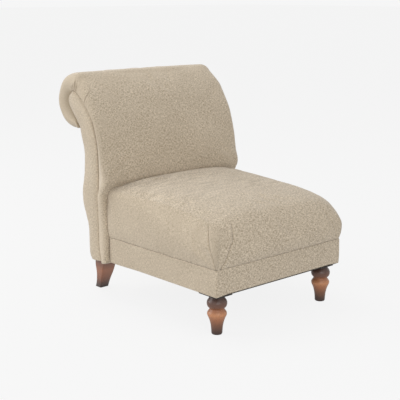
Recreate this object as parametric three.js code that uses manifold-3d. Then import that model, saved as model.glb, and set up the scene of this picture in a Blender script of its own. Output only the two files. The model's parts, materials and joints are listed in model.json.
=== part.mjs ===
// Slipper chair with a scroll back: an upholstered seat unit bolted to an upholstered back unit.
// Millimetres, +Z up, +Y towards the rear, +X to the left of someone seated.
// Places count from the floor under the middle of the border's front face. At the end the chair is
// moved so that its origin lies on the floor under the middle of the whole chair.
import * as THREE from 'three';
import { mergeVertices } from 'three/addons/utils/BufferGeometryUtils.js';
import Module from 'manifold-3d';

const wasm = await Module();
wasm.setup();

// Overall sizes
const seatWidth = 600;        // over the border, side to side
const seatDepth = 566;        // border front to the rear of the seat unit
const borderBottom = 140;     // floor to the lower edge of the border
const borderHeight = 90;
const backOverhang = 18;      // how far the seams of the inside back lie outside the seat
const backRise = 671;         // lower edge of the back unit to the top of the scroll
const backReach = 274.7;      // rear of the seat unit to the rear of the scroll
const fit = 0.3;              // gap between pieces that touch
const overrun = 10;           // how far a cutting shape passes the piece that it cuts

// Upholstery thicknesses
const borderThickness = 4;
const coverThickness = 3;
const linerThickness = 3;     // webs and scroll board behind the inside back foam
const outsideThickness = 3;   // outside back cover, and its board
const dustThickness = 0.8;
const facingThickness = 14.5;
const facingProud = 2.5;      // the facings stand out past the seams round them
const facingDome = 6.5;
const facingRound = 20;       // width of the domed edge
const facingGap = 0.6;        // facing to the padding round it

// Timber
const railThickness = 25;
const railDrop = 5.7;          // top of the border to the top of the rails
const uprightThickness = 18;
const blockHeight = 45;
const blockLeg = 72;          // length of a corner block along each rail
const blockNose = 22;         // what is left of that length at the block's ends
const backRailHeight = 66;
const tongueInset = 73;       // side of the back to the back rail's tongue, which passes through the padding
const tongueClearance = 3;
const braceDepth = 25;        // middle rail and scroll rail
const braceHeight = 50;

// Fasteners
const boltRadius = 4;
const holeClearance = 0.5;
const boltSides = 10;
const boltEngagement = 25;    // how far a leg bolt enters the leg
const boltEnd = 1;            // how far a bolt stands out of its nut
const nutBarrelRadius = 6;
const nutBarrelLength = 9;
const nutFlangeRadius = 11;
const nutFlangeThickness = 1.5;
const jointBoltShare = 0.5;   // place of a joint bolt, as a share of half the seat's width
const jointHeadRadius = 7.5;
const jointHeadThickness = 5;
const jointNutRadius = 8;
const jointNutThickness = 5;
const hexSides = 6;

// Seat springs
const springCount = 4;
const springWireRadius = 1.9;
const springBar = 30;
const springWaves = 12;
const wireSides = 5;
const arcSteps = 3;
const clipThickness = 1.2;
const clipWidth = 18;
const clipSetback = 1.5;      // outer face of the rail to the clip
const clipLip = 3;
const feltThickness = 3;
const feltMargin = 6;         // border to the edge of the felt

// Derived places
const halfWidth = seatWidth / 2;
const backHalf = halfWidth + backOverhang;
const tongueHalfWidth = backHalf - tongueInset;
const jointBoltPlace = halfWidth * jointBoltShare;
const borderTop = borderBottom + borderHeight;
const backBottom = borderBottom;
const backPlane = seatDepth + fit;
const railBottom = borderBottom + fit;
const railTop = borderTop - railDrop;
const railOuter = halfWidth - borderThickness - fit;
const railInner = railOuter - railThickness;
const frontRailFront = borderThickness + fit;
const frontRailRear = frontRailFront + railThickness;
const rearRailRear = seatDepth;
const rearRailFront = rearRailRear - railThickness;
const holeRadius = boltRadius + holeClearance;

const chair = new THREE.Group();

// Materials
function finish(color, roughness, metalness = 0) {
  return new THREE.MeshStandardMaterial({ color, roughness, metalness });
}
const chenille = finish('#c9b89e', 0.95);
const legWood = finish('#8a5a3c', 0.4);
const timber = finish('#cfa873', 0.8);
const plywood = finish('#d4b483', 0.8);
const foam = finish('#e8dfc4', 1);
const steel = finish('#9a9c9e', 0.35, 1);
const darkSteel = finish('#2b2724', 0.5, 0.3);
const blackCloth = finish('#242424', 1);
const felt = finish('#8d8a84', 1);

function place(name, geometry, material, x = 0, y = 0, z = 0) {
  const mesh = new THREE.Mesh(geometry, material);
  mesh.name = name;
  mesh.position.set(x, y, z);
  chair.add(mesh);
}

function forBothSides(build) {
  build('left', 1);
  build('right', -1);
}

// Solids from three.js shapes
const holeSegments = 6;

function box(lowX, highX, lowY, highY, lowZ, highZ) {
  const solid = new THREE.BoxGeometry(highX - lowX, highY - lowY, highZ - lowZ);
  return solid.translate((lowX + highX) / 2, (lowY + highY) / 2, (lowZ + highZ) / 2);
}

const alongX = new THREE.Vector3(1, 0, 0);
const alongY = new THREE.Vector3(0, 1, 0);
const alongZ = new THREE.Vector3(0, 0, 1);

// A shape drawn in Y and Z, run along X.
function extrudeAcross(shape, lowX, highX, options = {}) {
  const solid = new THREE.ExtrudeGeometry(shape, { depth: highX - lowX, bevelEnabled: false, ...options });
  solid.applyMatrix4(new THREE.Matrix4().makeBasis(alongY, alongZ, alongX));
  return solid.translate(lowX, 0, 0);
}

// A shape drawn in X and Y, run upwards.
function extrudeUp(shape, lowZ, highZ) {
  const solid = new THREE.ExtrudeGeometry(shape, {
    depth: highZ - lowZ, bevelEnabled: false, curveSegments: holeSegments,
  });
  return solid.translate(0, 0, lowZ);
}

// A shape drawn in X and Z, run along Y.
function extrudeBack(shape, lowY, highY) {
  const solid = new THREE.ExtrudeGeometry(shape, {
    depth: highY - lowY, bevelEnabled: false, curveSegments: holeSegments,
  });
  return solid.rotateX(Math.PI / 2).translate(0, highY, 0);
}

// A profile of radius and height turned about Z.
function turned(profile, sides) {
  const points = profile.map(([radius, height]) => new THREE.Vector2(radius, height));
  return new THREE.LatheGeometry(points, sides).rotateX(Math.PI / 2);
}

// A closed outline, turned counterclockwise so that clockwise holes can be cut in it.
function outline(points) {
  const corners = points.map(([a, b]) => new THREE.Vector2(a, b));
  return new THREE.Shape(THREE.ShapeUtils.isClockWise(corners) ? corners.reverse() : corners);
}

function hole(x, y, radius) {
  return new THREE.Path().absarc(x, y, radius, 0, 2 * Math.PI, true);
}

function rod(radius, lowZ, highZ, sides) {
  return turned([[0, lowZ], [radius, lowZ], [radius, highZ], [0, highZ]], sides);
}

// Cutting and joining
function toManifold(geometry) {
  const bare = geometry.clone();
  bare.deleteAttribute('normal');
  bare.deleteAttribute('uv');
  const merged = mergeVertices(bare);
  return new wasm.Manifold(new wasm.Mesh({
    numProp: 3,
    vertProperties: new Float32Array(merged.attributes.position.array),
    triVerts: new Uint32Array(merged.index.array),
  }));
}

function fromManifold(solid) {
  const mesh = solid.getMesh();
  const geometry = new THREE.BufferGeometry();
  geometry.setAttribute('position', new THREE.BufferAttribute(mesh.vertProperties, 3));
  geometry.setIndex(new THREE.BufferAttribute(mesh.triVerts, 1));
  return geometry;
}

function cut(geometry, ...cutters) {
  let solid = toManifold(geometry);
  for (const cutter of cutters) solid = solid.subtract(toManifold(cutter));
  return fromManifold(solid);
}

// Surfaces: points and triangles, outward faces counterclockwise
function toGeometry({ points, faces }) {
  const geometry = new THREE.BufferGeometry().setFromPoints(points);
  geometry.setIndex(faces.flat());
  return geometry;
}

// Rows run up or inwards and columns run from right to left round the outside.
function gridSurface(rows) {
  const width = rows[0].length;
  const faces = [];
  for (let row = 0; row + 1 < rows.length; row++) {
    for (let column = 0; column + 1 < width; column++) {
      const at = row * width + column;
      faces.push([at, at + 1, at + width], [at + 1, at + width + 1, at + width]);
    }
  }
  return { points: rows.flat(), faces };
}

// Directed edges that only one triangle uses.
function openEdges(faces) {
  const used = new Map();
  for (const [a, b, c] of faces) {
    for (const edge of [[a, b], [b, c], [c, a]]) used.set(edge.join(), edge);
  }
  return [...used.values()].filter(([a, b]) => !used.has([b, a].join()));
}

// The solid between two surfaces of the same layout.
function shell(outer, inner) {
  const shift = outer.points.length;
  const faces = [...outer.faces];
  for (const [a, b, c] of inner.faces) faces.push([c + shift, b + shift, a + shift]);
  for (const [a, b] of openEdges(outer.faces)) {
    faces.push([b, a, a + shift], [b, a + shift, b + shift]);
  }
  return toGeometry({ points: [...outer.points, ...inner.points], faces });
}

// The solid under a surface whose whole rim faces one point.
function closedTo(surface, apex) {
  const last = surface.points.length;
  const faces = [...surface.faces];
  for (const [a, b] of openEdges(surface.faces)) faces.push([b, a, last]);
  return toGeometry({ points: [...surface.points, apex], faces });
}

// The solid through a list of rings, with flat ends.
function loft(rings) {
  const { points, faces } = gridSurface(rings.map((ring) => [...ring, ring[0]]));
  const width = rings[0].length + 1;
  const lastRow = (rings.length - 1) * width;
  for (let column = 1; column + 2 < width; column++) {
    faces.push([0, column + 1, column], [lastRow, lastRow + column, lastRow + column + 1]);
  }
  return toGeometry({ points, faces });
}

// Side profile of the back: shares of the back's reach, then of its rise
const frontLineShares = [
  [0.003, 0], [0.003, 0.07], [0.004, 0.142], [0.006, 0.227], [0.006, 0.313], [-0.001, 0.365],
  [-0.045, 0.399], [-0.09, 0.441], [-0.068, 0.501], [-0.041, 0.563], [-0.007, 0.626], [0.037, 0.692],
  [0.095, 0.757], [0.168, 0.82], [0.257, 0.879], [0.37, 0.931], [0.487, 0.975], [0.589, 0.999],
];
const rollCentreShares = [0.625, 0.846];
const rollRadiusShares = [0.375, 0.154];
const rollAngles = [60, 30, 0, -25, -50, -72, -92, -107];
const seamLineShares = [
  [0.064, 0], [0.104, 0.058], [0.115, 0.124], [0.111, 0.226], [0.104, 0.306], [0.1, 0.367],
  [0.1, 0.419], [0.1, 0.471], [0.104, 0.53], [0.108, 0.589], [0.13, 0.645], [0.165, 0.697],
  [0.212, 0.754], [0.277, 0.806], [0.364, 0.845], [0.454, 0.873], [0.537, 0.89], [0.602, 0.899],
  [0.66, 0.892], [0.71, 0.873], [0.736, 0.849], [0.725, 0.825], [0.677, 0.796], [0.616, 0.768],
  [0.554, 0.74], [0.505, 0.713],
];
const rearLineShares = [
  [0.302, 0], [0.339, 0.036], [0.345, 0.124], [0.353, 0.174], [0.375, 0.206], [0.415, 0.248],
  [0.447, 0.279], [0.468, 0.32], [0.468, 0.375], [0.44, 0.423], [0.415, 0.485], [0.404, 0.552],
  [0.418, 0.604], [0.454, 0.651], [0.485, 0.698],
];

function backPoint([reachShare, riseShare]) {
  return new THREE.Vector2(backPlane + reachShare * backReach, backBottom + riseShare * backRise);
}

function rollPoint(degrees) {
  const angle = THREE.MathUtils.degToRad(degrees);
  return backPoint([
    rollCentreShares[0] + rollRadiusShares[0] * Math.cos(angle),
    rollCentreShares[1] + rollRadiusShares[1] * Math.sin(angle),
  ]);
}

const frontLine = [...frontLineShares.map(backPoint), ...rollAngles.map(rollPoint)];
const seamLine = seamLineShares.map(backPoint);
const rearLine = rearLineShares.map(backPoint);
const lastStation = seamLine.length - 1;
const foamEndStation = lastStation - 2;
const seatContactStation = 10;   // the seat meets the inside back below this station

// The inside back padding, seen along its line: a flat face with rounded edges and a side strip.
// Each edge holds from its first to its last station, and blends into the next one between them.
const lowPadRadius = 22;
const lowPadBulge = 5;
const middlePadRadius = 17;
const middlePadCrown = 2;
const middlePadBulge = 10;
const scrollPadRadius = 34;
const scrollPadCrown = 3;
const scrollPadBulge = 9;
const lowPadEnd = 3;
const middlePadStart = 7;
const middlePadEnd = 14;
const scrollPadStart = 18;
const padEdges = [
  { from: 0, to: lowPadEnd, radius: lowPadRadius, crown: 0, bulge: lowPadBulge },
  {
    from: middlePadStart, to: middlePadEnd,
    radius: middlePadRadius, crown: middlePadCrown, bulge: middlePadBulge,
  },
  {
    from: scrollPadStart, to: lastStation,
    radius: scrollPadRadius, crown: scrollPadCrown, bulge: scrollPadBulge,
  },
];
const cornerLimitShare = 0.6;    // a corner takes at most this share of the padding's depth
const crownLimitShare = 0.2;
const faceShares = [0, 0.35, 0.7, 1];
const cornerAngles = [30, 60, 90];

function padEdgeAt(station) {
  const next = padEdges.findIndex(({ to }) => station <= to);
  const edge = padEdges[next];
  if (station >= edge.from) return edge;
  const before = padEdges[next - 1];
  const share = (station - before.to) / (edge.from - before.to);
  const blend = (key) => THREE.MathUtils.lerp(before[key], edge[key], share);
  return { radius: blend('radius'), crown: blend('crown'), bulge: blend('bulge') };
}

// One half of a section as pairs of distance from the middle and depth, from the middle outwards.
// Inset draws the face and sides in; backInset stops it short of the seam line.
function padHalfSection(station, inset, backInset) {
  const depth = frontLine[station].distanceTo(seamLine[station]);
  const edge = padEdgeAt(station);
  const radius = Math.min(edge.radius, cornerLimitShare * depth);
  const crown = Math.min(edge.crown, crownLimitShare * depth);
  const arm = Math.max(radius - inset, fit);
  const end = depth - backInset;
  const side = backHalf + edge.bulge;
  const section = faceShares.map((share) => [share * (side - radius), inset + crown * share * share]);
  for (const degrees of cornerAngles) {
    const angle = THREE.MathUtils.degToRad(degrees);
    section.push([
      side - inset - arm * (1 - Math.sin(angle)),
      inset + crown + arm * (1 - Math.cos(angle)),
    ]);
  }
  section.push([side - inset, (crown + radius + depth) / 2]);
  section.push([backHalf - inset, end]);
  return section.map(([across, down]) => [across, Math.min(down, end)]);
}

function padRing(station, inset, backInset) {
  const front = frontLine[station];
  const inwards = seamLine[station].clone().sub(front).normalize();
  const half = padHalfSection(station, inset, backInset);
  const whole = [...half.slice(1).reverse().map(([across, down]) => [-across, down]), ...half];
  return whole.map(([across, down]) => new THREE.Vector3(
    across, front.x + inwards.x * down, front.y + inwards.y * down,
  ));
}

function padRings(fromStation, toStation, inset, backInset) {
  const rings = [];
  for (let station = fromStation; station <= toStation; station++) {
    rings.push(padRing(station, inset, backInset));
  }
  return rings;
}

// Back rail: its tongue passes through the lower padding and meets the seat's rear rail
const backRailBottom = backBottom;
const backRailTop = backRailBottom + backRailHeight;
const lowSeamPoints = seamLine.filter((point) => point.y < backRailTop);
const backRailFront = Math.max(...lowSeamPoints.map((point) => point.x)) + fit;
const rearLayers = 2 * outsideThickness + 2 * fit;
const backRailRear = rearLine[0].x - rearLayers - fit - jointNutThickness - boltEnd - fit;
const uprightOuter = backHalf + facingProud - facingThickness - fit;
const uprightInner = uprightOuter - uprightThickness;
const jointBoltHeight = (railBottom + backRailTop) / 2;

const paddingWindow = box(
  -tongueHalfWidth - tongueClearance, tongueHalfWidth + tongueClearance,
  backPlane - overrun, backRailRear, backBottom - overrun, backRailTop + tongueClearance,
);

const insideBackShell = shell(
  gridSurface(padRings(0, lastStation, 0, 0)),
  gridSurface(padRings(0, lastStation, coverThickness, 0)),
);
place('inside_back_cover', cut(insideBackShell, paddingWindow), chenille);

const insideBackFoam = loft(padRings(0, foamEndStation, coverThickness + fit, linerThickness + 2 * fit));
place('inside_back_foam', cut(insideBackFoam, paddingWindow), foam);

const padCutter = loft(padRings(0, seatContactStation, -fit, 0));

// Seat: rings from the border seam up the walls, over the rolled edge and in to the middle
const seatTuck = 20;             // how far the seat runs under the inside back before it is trimmed
const seatEdgeRise = 149.5;        // border seam to the seat's edge at the front, before the waterfall
const seatRearRise = 25.5;         // how much higher the edge lies at the rear
const seatDome = 5;              // rise of the top half way back
const waterfallDrop = 39;        // how much lower the top starts at the front
const waterfallLength = 76;
const seatCrown = 22;            // rise of the top from its side edges to the middle
const crownPower = 3;
const wallRise = 50;
const wallBulge = 9;
const bulgePower = 6;
const rearPinchShare = 0.3;      // how much of the bulge is lost where the wall meets the back
const frontRoll = 48;
const frontSideRoll = 34;        // width of the rolled side edges at the front, and at the rear
const rearSideRoll = 6;
const borderCornerRadius = 5;
const wallCornerRadius = 16;
const topCornerRadius = 38;
const wallShares = [0, 0.4, 1];
const rollSteps = [18, 36, 54, 72, 90];
const topShares = [0.25, 0.5, 0.75, 1];
const middleWidthShare = 0.76;   // where the last ring lies, from the side and from the front
const middleDepthShare = 0.42;
const sideColumns = 7;
const cornerColumns = 4;
const frontColumns = 8;
const middleCornerShare = 0.5;

function seatTop(x, y) {
  const ahead = Math.max(y, 0);
  const across = 1 - Math.min(Math.abs(x) / halfWidth, 1) ** crownPower;
  const along = ahead / seatDepth;
  const edge = seatEdgeRise + seatRearRise * along + seatDome * Math.sin(Math.PI * Math.min(along, 1));
  return borderTop + edge - waterfallDrop * Math.exp(-ahead / waterfallLength) + seatCrown * across;
}

function bulgeAt(y) {
  return wallBulge * (1 - rearPinchShare * Math.min(Math.max(y, 0) / seatDepth, 1) ** bulgePower);
}

function sideRollAt(y) {
  return THREE.MathUtils.lerp(frontSideRoll, rearSideRoll, Math.min(Math.max(y, 0) / seatDepth, 1));
}

// A ring from the rear of the right side, round the front, to the rear of the left side.
// sideIn and frontIn say how far the ring lies inside the border's faces.
function seatRing(sideIn, frontIn, corner, heightAt) {
  const rear = seatDepth + seatTuck;
  const half = [];
  for (let step = 0; step < sideColumns; step++) {
    const y = THREE.MathUtils.lerp(rear, frontIn + corner, step / sideColumns);
    half.push([halfWidth - sideIn(y), y]);
  }
  const cornerSide = halfWidth - sideIn(frontIn + corner);
  for (let step = 0; step <= cornerColumns; step++) {
    const angle = (Math.PI / 2) * (step / cornerColumns);
    half.push([cornerSide - corner * (1 - Math.cos(angle)), frontIn + corner * (1 - Math.sin(angle))]);
  }
  const straight = cornerSide - corner;
  for (let step = 1; step <= frontColumns / 2; step++) {
    half.push([straight * (1 - step / (frontColumns / 2)), frontIn]);
  }
  const whole = [...half.map(([x, y]) => [-x, y]), ...half.slice(0, -1).reverse()];
  return whole.map(([x, y]) => new THREE.Vector3(x, y, heightAt(x, y)));
}

function seatSurface(inset, base) {
  const wallTop = borderTop + wallRise;
  const rows = [];
  for (const share of wallShares) {
    const swell = Math.sin((Math.PI / 2) * share);
    const corner = THREE.MathUtils.lerp(borderCornerRadius, wallCornerRadius, share);
    rows.push(seatRing(
      (y) => inset - bulgeAt(y) * swell, inset - wallBulge * swell, corner - inset,
      () => THREE.MathUtils.lerp(base, wallTop, share),
    ));
  }
  for (const degrees of rollSteps) {
    const angle = THREE.MathUtils.degToRad(degrees);
    const inwards = 1 - Math.cos(angle);
    const corner = THREE.MathUtils.lerp(wallCornerRadius, topCornerRadius, inwards);
    rows.push(seatRing(
      (y) => inset + (sideRollAt(y) - inset) * inwards - bulgeAt(y) * Math.cos(angle),
      inset + (frontRoll - inset) * inwards - wallBulge * Math.cos(angle), corner - inset,
      (x, y) => wallTop + (seatTop(x, y) - inset - wallTop) * Math.sin(angle),
    ));
  }
  for (const share of topShares) {
    rows.push(seatRing(
      (y) => THREE.MathUtils.lerp(sideRollAt(y), halfWidth * middleWidthShare, share),
      THREE.MathUtils.lerp(frontRoll, seatDepth * middleDepthShare, share),
      topCornerRadius * (1 - middleCornerShare * share) - inset,
      (x, y) => seatTop(x, y) - inset,
    ));
  }
  const surface = gridSurface(rows);
  const width = rows[0].length;
  const lastRow = (rows.length - 1) * width;
  const middleY = (seatDepth + seatDepth * middleDepthShare) / 2;
  const middle = surface.points.push(new THREE.Vector3(0, middleY, seatTop(0, middleY) - inset)) - 1;
  for (let column = 0; column + 1 < width; column++) {
    surface.faces.push([lastRow + column, lastRow + column + 1, middle]);
  }
  surface.faces.push([lastRow + width - 1, lastRow, middle]);
  return surface;
}

const seatSeam = borderTop + fit;
const seatShell = shell(seatSurface(0, seatSeam), seatSurface(coverThickness, seatSeam));
place('seat_cover', cut(seatShell, padCutter), chenille);

const springHeight = railTop + fit + clipThickness + fit + springWireRadius;
const clipHeight = 2 * clipThickness + 2 * fit + 2 * springWireRadius;
const feltBottom = railTop + fit + clipHeight + fit;
const feltTop = feltBottom + feltThickness;
place('spring_felt', box(
  -railOuter + feltMargin, railOuter - feltMargin, frontRailFront + feltMargin, rearRailRear - feltMargin,
  feltBottom, feltTop,
), felt);

const foamBottom = feltTop + fit;
const seatFoamSurface = seatSurface(coverThickness + fit, foamBottom);
const seatFoamApex = new THREE.Vector3(0, seatDepth + seatTuck, foamBottom);
place('seat_foam', cut(closedTo(seatFoamSurface, seatFoamApex), padCutter), foam);

// Border: one band round the front and both sides, rounded outside and square inside
const innerSide = halfWidth - borderThickness;
const cornerCentre = halfWidth - borderCornerRadius;
const quarter = Math.PI / 2;
const borderShape = new THREE.Shape();
borderShape.moveTo(-halfWidth, seatDepth);
borderShape.lineTo(-halfWidth, borderCornerRadius);
borderShape.absarc(-cornerCentre, borderCornerRadius, borderCornerRadius, 2 * quarter, 3 * quarter);
borderShape.lineTo(cornerCentre, 0);
borderShape.absarc(cornerCentre, borderCornerRadius, borderCornerRadius, 3 * quarter, 4 * quarter);
borderShape.lineTo(halfWidth, seatDepth);
borderShape.lineTo(innerSide, seatDepth);
borderShape.lineTo(innerSide, borderThickness);
borderShape.lineTo(-innerSide, borderThickness);
borderShape.lineTo(-innerSide, seatDepth);
place('seat_border', extrudeUp(borderShape, borderBottom, borderTop), chenille);

// Seat frame
place('front_rail', box(
  -railInner + fit, railInner - fit, frontRailFront, frontRailRear, railBottom, railTop,
), timber);
forBothSides((side, sign) => {
  const inner = sign * railInner;
  const outer = sign * railOuter;
  place(`side_rail_${side}`, box(
    Math.min(inner, outer), Math.max(inner, outer), frontRailFront, rearRailRear, railBottom, railTop,
  ), timber);
});

const rearRailShape = outline([
  [-railInner + fit, railBottom], [railInner - fit, railBottom], [railInner - fit, railTop],
  [-railInner + fit, railTop],
]);
forBothSides((side, sign) => {
  rearRailShape.holes.push(hole(sign * jointBoltPlace, jointBoltHeight, holeRadius));
});
place('seat_rear_rail', extrudeBack(rearRailShape, rearRailFront, rearRailRear), timber);

// Places of the legs
const frontLegInset = 46;        // border faces to the middle of a front leg
const rearLegInset = 46;         // side of the back to a rear leg's bolt
const rearBoltSetback = 14;      // rear face of the back rail to a rear leg's bolt
const plateThickness = 8;
const plateInset = 15;
const plateWidth = 70;
const plateLength = 85;
const dustBottom = borderBottom - dustThickness;
const plateTop = dustBottom - fit;
const plateBottom = plateTop - plateThickness;
const frontLegTop = plateBottom - fit;
const frontLegX = halfWidth - frontLegInset;
const frontLegY = frontLegInset;
const rearLegX = backHalf - rearLegInset;
const rearLegTop = backRailBottom - fit;
const rearBoltY = backRailRear - rearBoltSetback;

// Corner blocks: the front ones carry the legs' nuts and the rear ones brace the frame
const nutHoleRadius = nutBarrelRadius + holeClearance;
forBothSides((side, sign) => {
  const cornerX = sign * (railInner - fit);
  const blockOutline = (cornerY, turn) => outline([
    [cornerX, cornerY], [cornerX, cornerY + turn * blockLeg],
    [cornerX - sign * blockNose, cornerY + turn * blockLeg],
    [cornerX - sign * blockLeg, cornerY + turn * blockNose], [cornerX - sign * blockLeg, cornerY],
  ]);
  const frontBlock = blockOutline(frontRailRear + fit, 1);
  frontBlock.holes.push(hole(sign * frontLegX, frontLegY, nutHoleRadius));
  place(`front_corner_block_${side}`, extrudeUp(frontBlock, railBottom, railBottom + blockHeight), timber);
  const rearBlock = blockOutline(rearRailFront - fit, -1);
  place(`rear_corner_block_${side}`, extrudeUp(rearBlock, railBottom, railBottom + blockHeight), timber);
});

// Dust cover under the seat frame
const dustShape = outline([
  [-railOuter, frontRailFront], [railOuter, frontRailFront],
  [railOuter, rearRailRear], [-railOuter, rearRailRear],
]);
forBothSides((side, sign) => dustShape.holes.push(hole(sign * frontLegX, frontLegY, holeRadius)));
place('dust_cover', extrudeUp(dustShape, dustBottom, borderBottom), blackCloth);

// Springs: bars across the seat joined by half turns, hooked into a clip at each end
class SpringPath extends THREE.Curve {
  constructor(keys) {
    super();
    this.keys = keys;
  }

  getPoint(t) {
    const place = t * (this.keys.length - 1);
    const before = Math.min(Math.floor(place), this.keys.length - 2);
    return this.keys[before].clone().lerp(this.keys[before + 1], place - before);
  }

  getUtoTmapping(u) {
    return u;
  }
}

const frontClipY = frontRailFront + railThickness / 2;
const rearClipY = rearRailFront + railThickness / 2;
const springPitch = (rearClipY - frontClipY) / springWaves;

function springKeys(centreX) {
  const keys = [];
  for (let wave = 0; wave < springWaves; wave++) {
    const turn = wave % 2 ? -1 : 1;
    const barY = frontClipY + wave * springPitch;
    keys.push(new THREE.Vector3(centreX - (turn * springBar) / 2, barY, springHeight));
    for (let step = 0; step < arcSteps; step++) {
      const angle = Math.PI * (step / arcSteps);
      const reach = springBar / 2 + (springPitch / 2) * Math.sin(angle);
      keys.push(new THREE.Vector3(
        centreX + turn * reach, barY + (springPitch / 2) * (1 - Math.cos(angle)), springHeight,
      ));
    }
  }
  const lastTurn = springWaves % 2 ? -1 : 1;
  keys.push(new THREE.Vector3(centreX - (lastTurn * springBar) / 2, rearClipY, springHeight));
  keys.push(new THREE.Vector3(centreX + (lastTurn * springBar) / 2, rearClipY, springHeight));
  return keys;
}

function polygon(radius, sides) {
  const points = [];
  for (let side = 0; side < sides; side++) {
    const angle = (2 * Math.PI * side) / sides;
    points.push([radius * Math.cos(angle), radius * Math.sin(angle)]);
  }
  return outline(points);
}

// The clip's hook stands on the side that the spring pulls towards.
function springClip(centreX, wireY, pull) {
  const hook = springWireRadius + fit;
  const tail = railThickness / 2 - clipSetback;
  const profile = [
    [-tail, 0], [hook + clipThickness, 0], [hook + clipThickness, clipHeight], [-clipLip, clipHeight],
    [-clipLip, clipHeight - clipThickness], [hook, clipHeight - clipThickness], [hook, clipThickness],
    [-tail, clipThickness],
  ].map(([along, up]) => [wireY + pull * along, railTop + fit + up]);
  return extrudeAcross(outline(profile), centreX - clipWidth / 2, centreX + clipWidth / 2);
}

const springSpacing = (2 * railInner) / springCount;
for (let spring = 0; spring < springCount; spring++) {
  const centreX = (spring - (springCount - 1) / 2) * springSpacing;
  const path = new SpringPath(springKeys(centreX));
  const wire = new THREE.ExtrudeGeometry(polygon(springWireRadius, wireSides), {
    steps: path.keys.length - 1, extrudePath: path, bevelEnabled: false,
  });
  place(`seat_spring_${spring + 1}`, wire, steel);
  place(`front_spring_clip_${spring + 1}`, springClip(centreX, frontClipY, 1), steel);
  place(`rear_spring_clip_${spring + 1}`, springClip(centreX, rearClipY, -1), steel);
}

// Back frame: two shaped uprights under the facings, with rails between them
const uprightRear = rearLine.map((point) => [point.x - rearLayers - fit, point.y]);
const uprightShape = outline([...seamLine.map((point) => [point.x, point.y]), ...uprightRear.reverse()]);
forBothSides((side, sign) => {
  const [low, high] = sign > 0 ? [uprightInner, uprightOuter] : [-uprightOuter, -uprightInner];
  place(`back_upright_${side}`, extrudeAcross(uprightShape, low, high), plywood);
});

const railEnd = uprightInner - fit;
const backRailShape = outline([
  [-railEnd, backRailFront], [-tongueHalfWidth, backRailFront], [-tongueHalfWidth, backPlane],
  [tongueHalfWidth, backPlane], [tongueHalfWidth, backRailFront], [railEnd, backRailFront],
  [railEnd, backRailRear], [-railEnd, backRailRear],
]);
forBothSides((side, sign) => backRailShape.holes.push(hole(sign * rearLegX, rearBoltY, nutHoleRadius)));
const jointHoles = [1, -1].map((sign) => {
  const drill = rod(holeRadius, backPlane - overrun, backRailRear + overrun, boltSides);
  return drill.rotateX(-Math.PI / 2).translate(sign * jointBoltPlace, 0, jointBoltHeight);
});
const backRail = extrudeUp(backRailShape, backRailBottom, backRailTop);
place('back_bottom_rail', cut(backRail, ...jointHoles), timber);

const middleRailShares = [0.246, 0.332];
const scrollRailShares = [0.385, 0.781];
for (const [name, shares] of [['back_middle_rail', middleRailShares], ['scroll_rail', scrollRailShares]]) {
  const centre = backPoint(shares);
  place(name, box(
    -railEnd, railEnd, centre.x - braceDepth / 2, centre.x + braceDepth / 2,
    centre.y - braceHeight / 2, centre.y + braceHeight / 2,
  ), timber);
}

// Liners on the front edge of the uprights: webs lower down, a bent board round the scroll
function stationPoint(line, station) {
  const before = Math.min(Math.floor(station), lastStation - 1);
  return line[before].clone().lerp(line[before + 1], station - before);
}

function linerShape(fromStation, toStation) {
  const stations = [fromStation];
  for (let station = Math.floor(fromStation) + 1; station < toStation; station++) stations.push(station);
  stations.push(toStation);
  const line = (offset) => stations.map((station) => {
    const seam = stationPoint(seamLine, station);
    const outwards = stationPoint(frontLine, station).sub(seam).normalize();
    return [seam.x + outwards.x * offset, seam.y + outwards.y * offset];
  });
  return outline([...line(fit), ...line(fit + linerThickness).reverse()]);
}

const webStations = [7, 8.6, 10.2, 11.8];
const webSpanShare = 0.55;
webStations.forEach((station, index) => {
  const shape = linerShape(station - webSpanShare, station + webSpanShare);
  place(`back_web_${index + 1}`, extrudeAcross(shape, -uprightOuter, uprightOuter), blackCloth);
});
const scrollBoardStation = 13;
place('scroll_board', extrudeAcross(
  linerShape(scrollBoardStation, foamEndStation), -uprightOuter, uprightOuter,
), plywood);

// Outside back: a board on the rear edges of the uprights, and its cover
function rearLayer(outer) {
  const line = (offset) => rearLine.map((point) => [point.x - offset, point.y]);
  return extrudeAcross(
    outline([...line(outer), ...line(outer + outsideThickness).reverse()]), -uprightOuter, uprightOuter,
  );
}
place('outside_back_cover', rearLayer(0), chenille);
place('outside_back_board', rearLayer(outsideThickness + fit), plywood);

// Facings: padded boards over the uprights, domed by their bevel
const facingShape = outline([...seamLine, ...[...rearLine].reverse()].map((point) => [point.x, point.y]));
forBothSides((side, sign) => {
  const inner = uprightOuter + fit + facingDome;
  const outer = uprightOuter + fit + facingThickness - facingDome;
  const [low, high] = sign > 0 ? [inner, outer] : [-outer, -inner];
  place(`side_facing_${side}`, extrudeAcross(facingShape, low, high, {
    bevelEnabled: true, bevelThickness: facingDome, bevelSize: facingRound,
    bevelOffset: -facingRound - facingGap, bevelSegments: 3,
  }), chenille);
});

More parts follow.
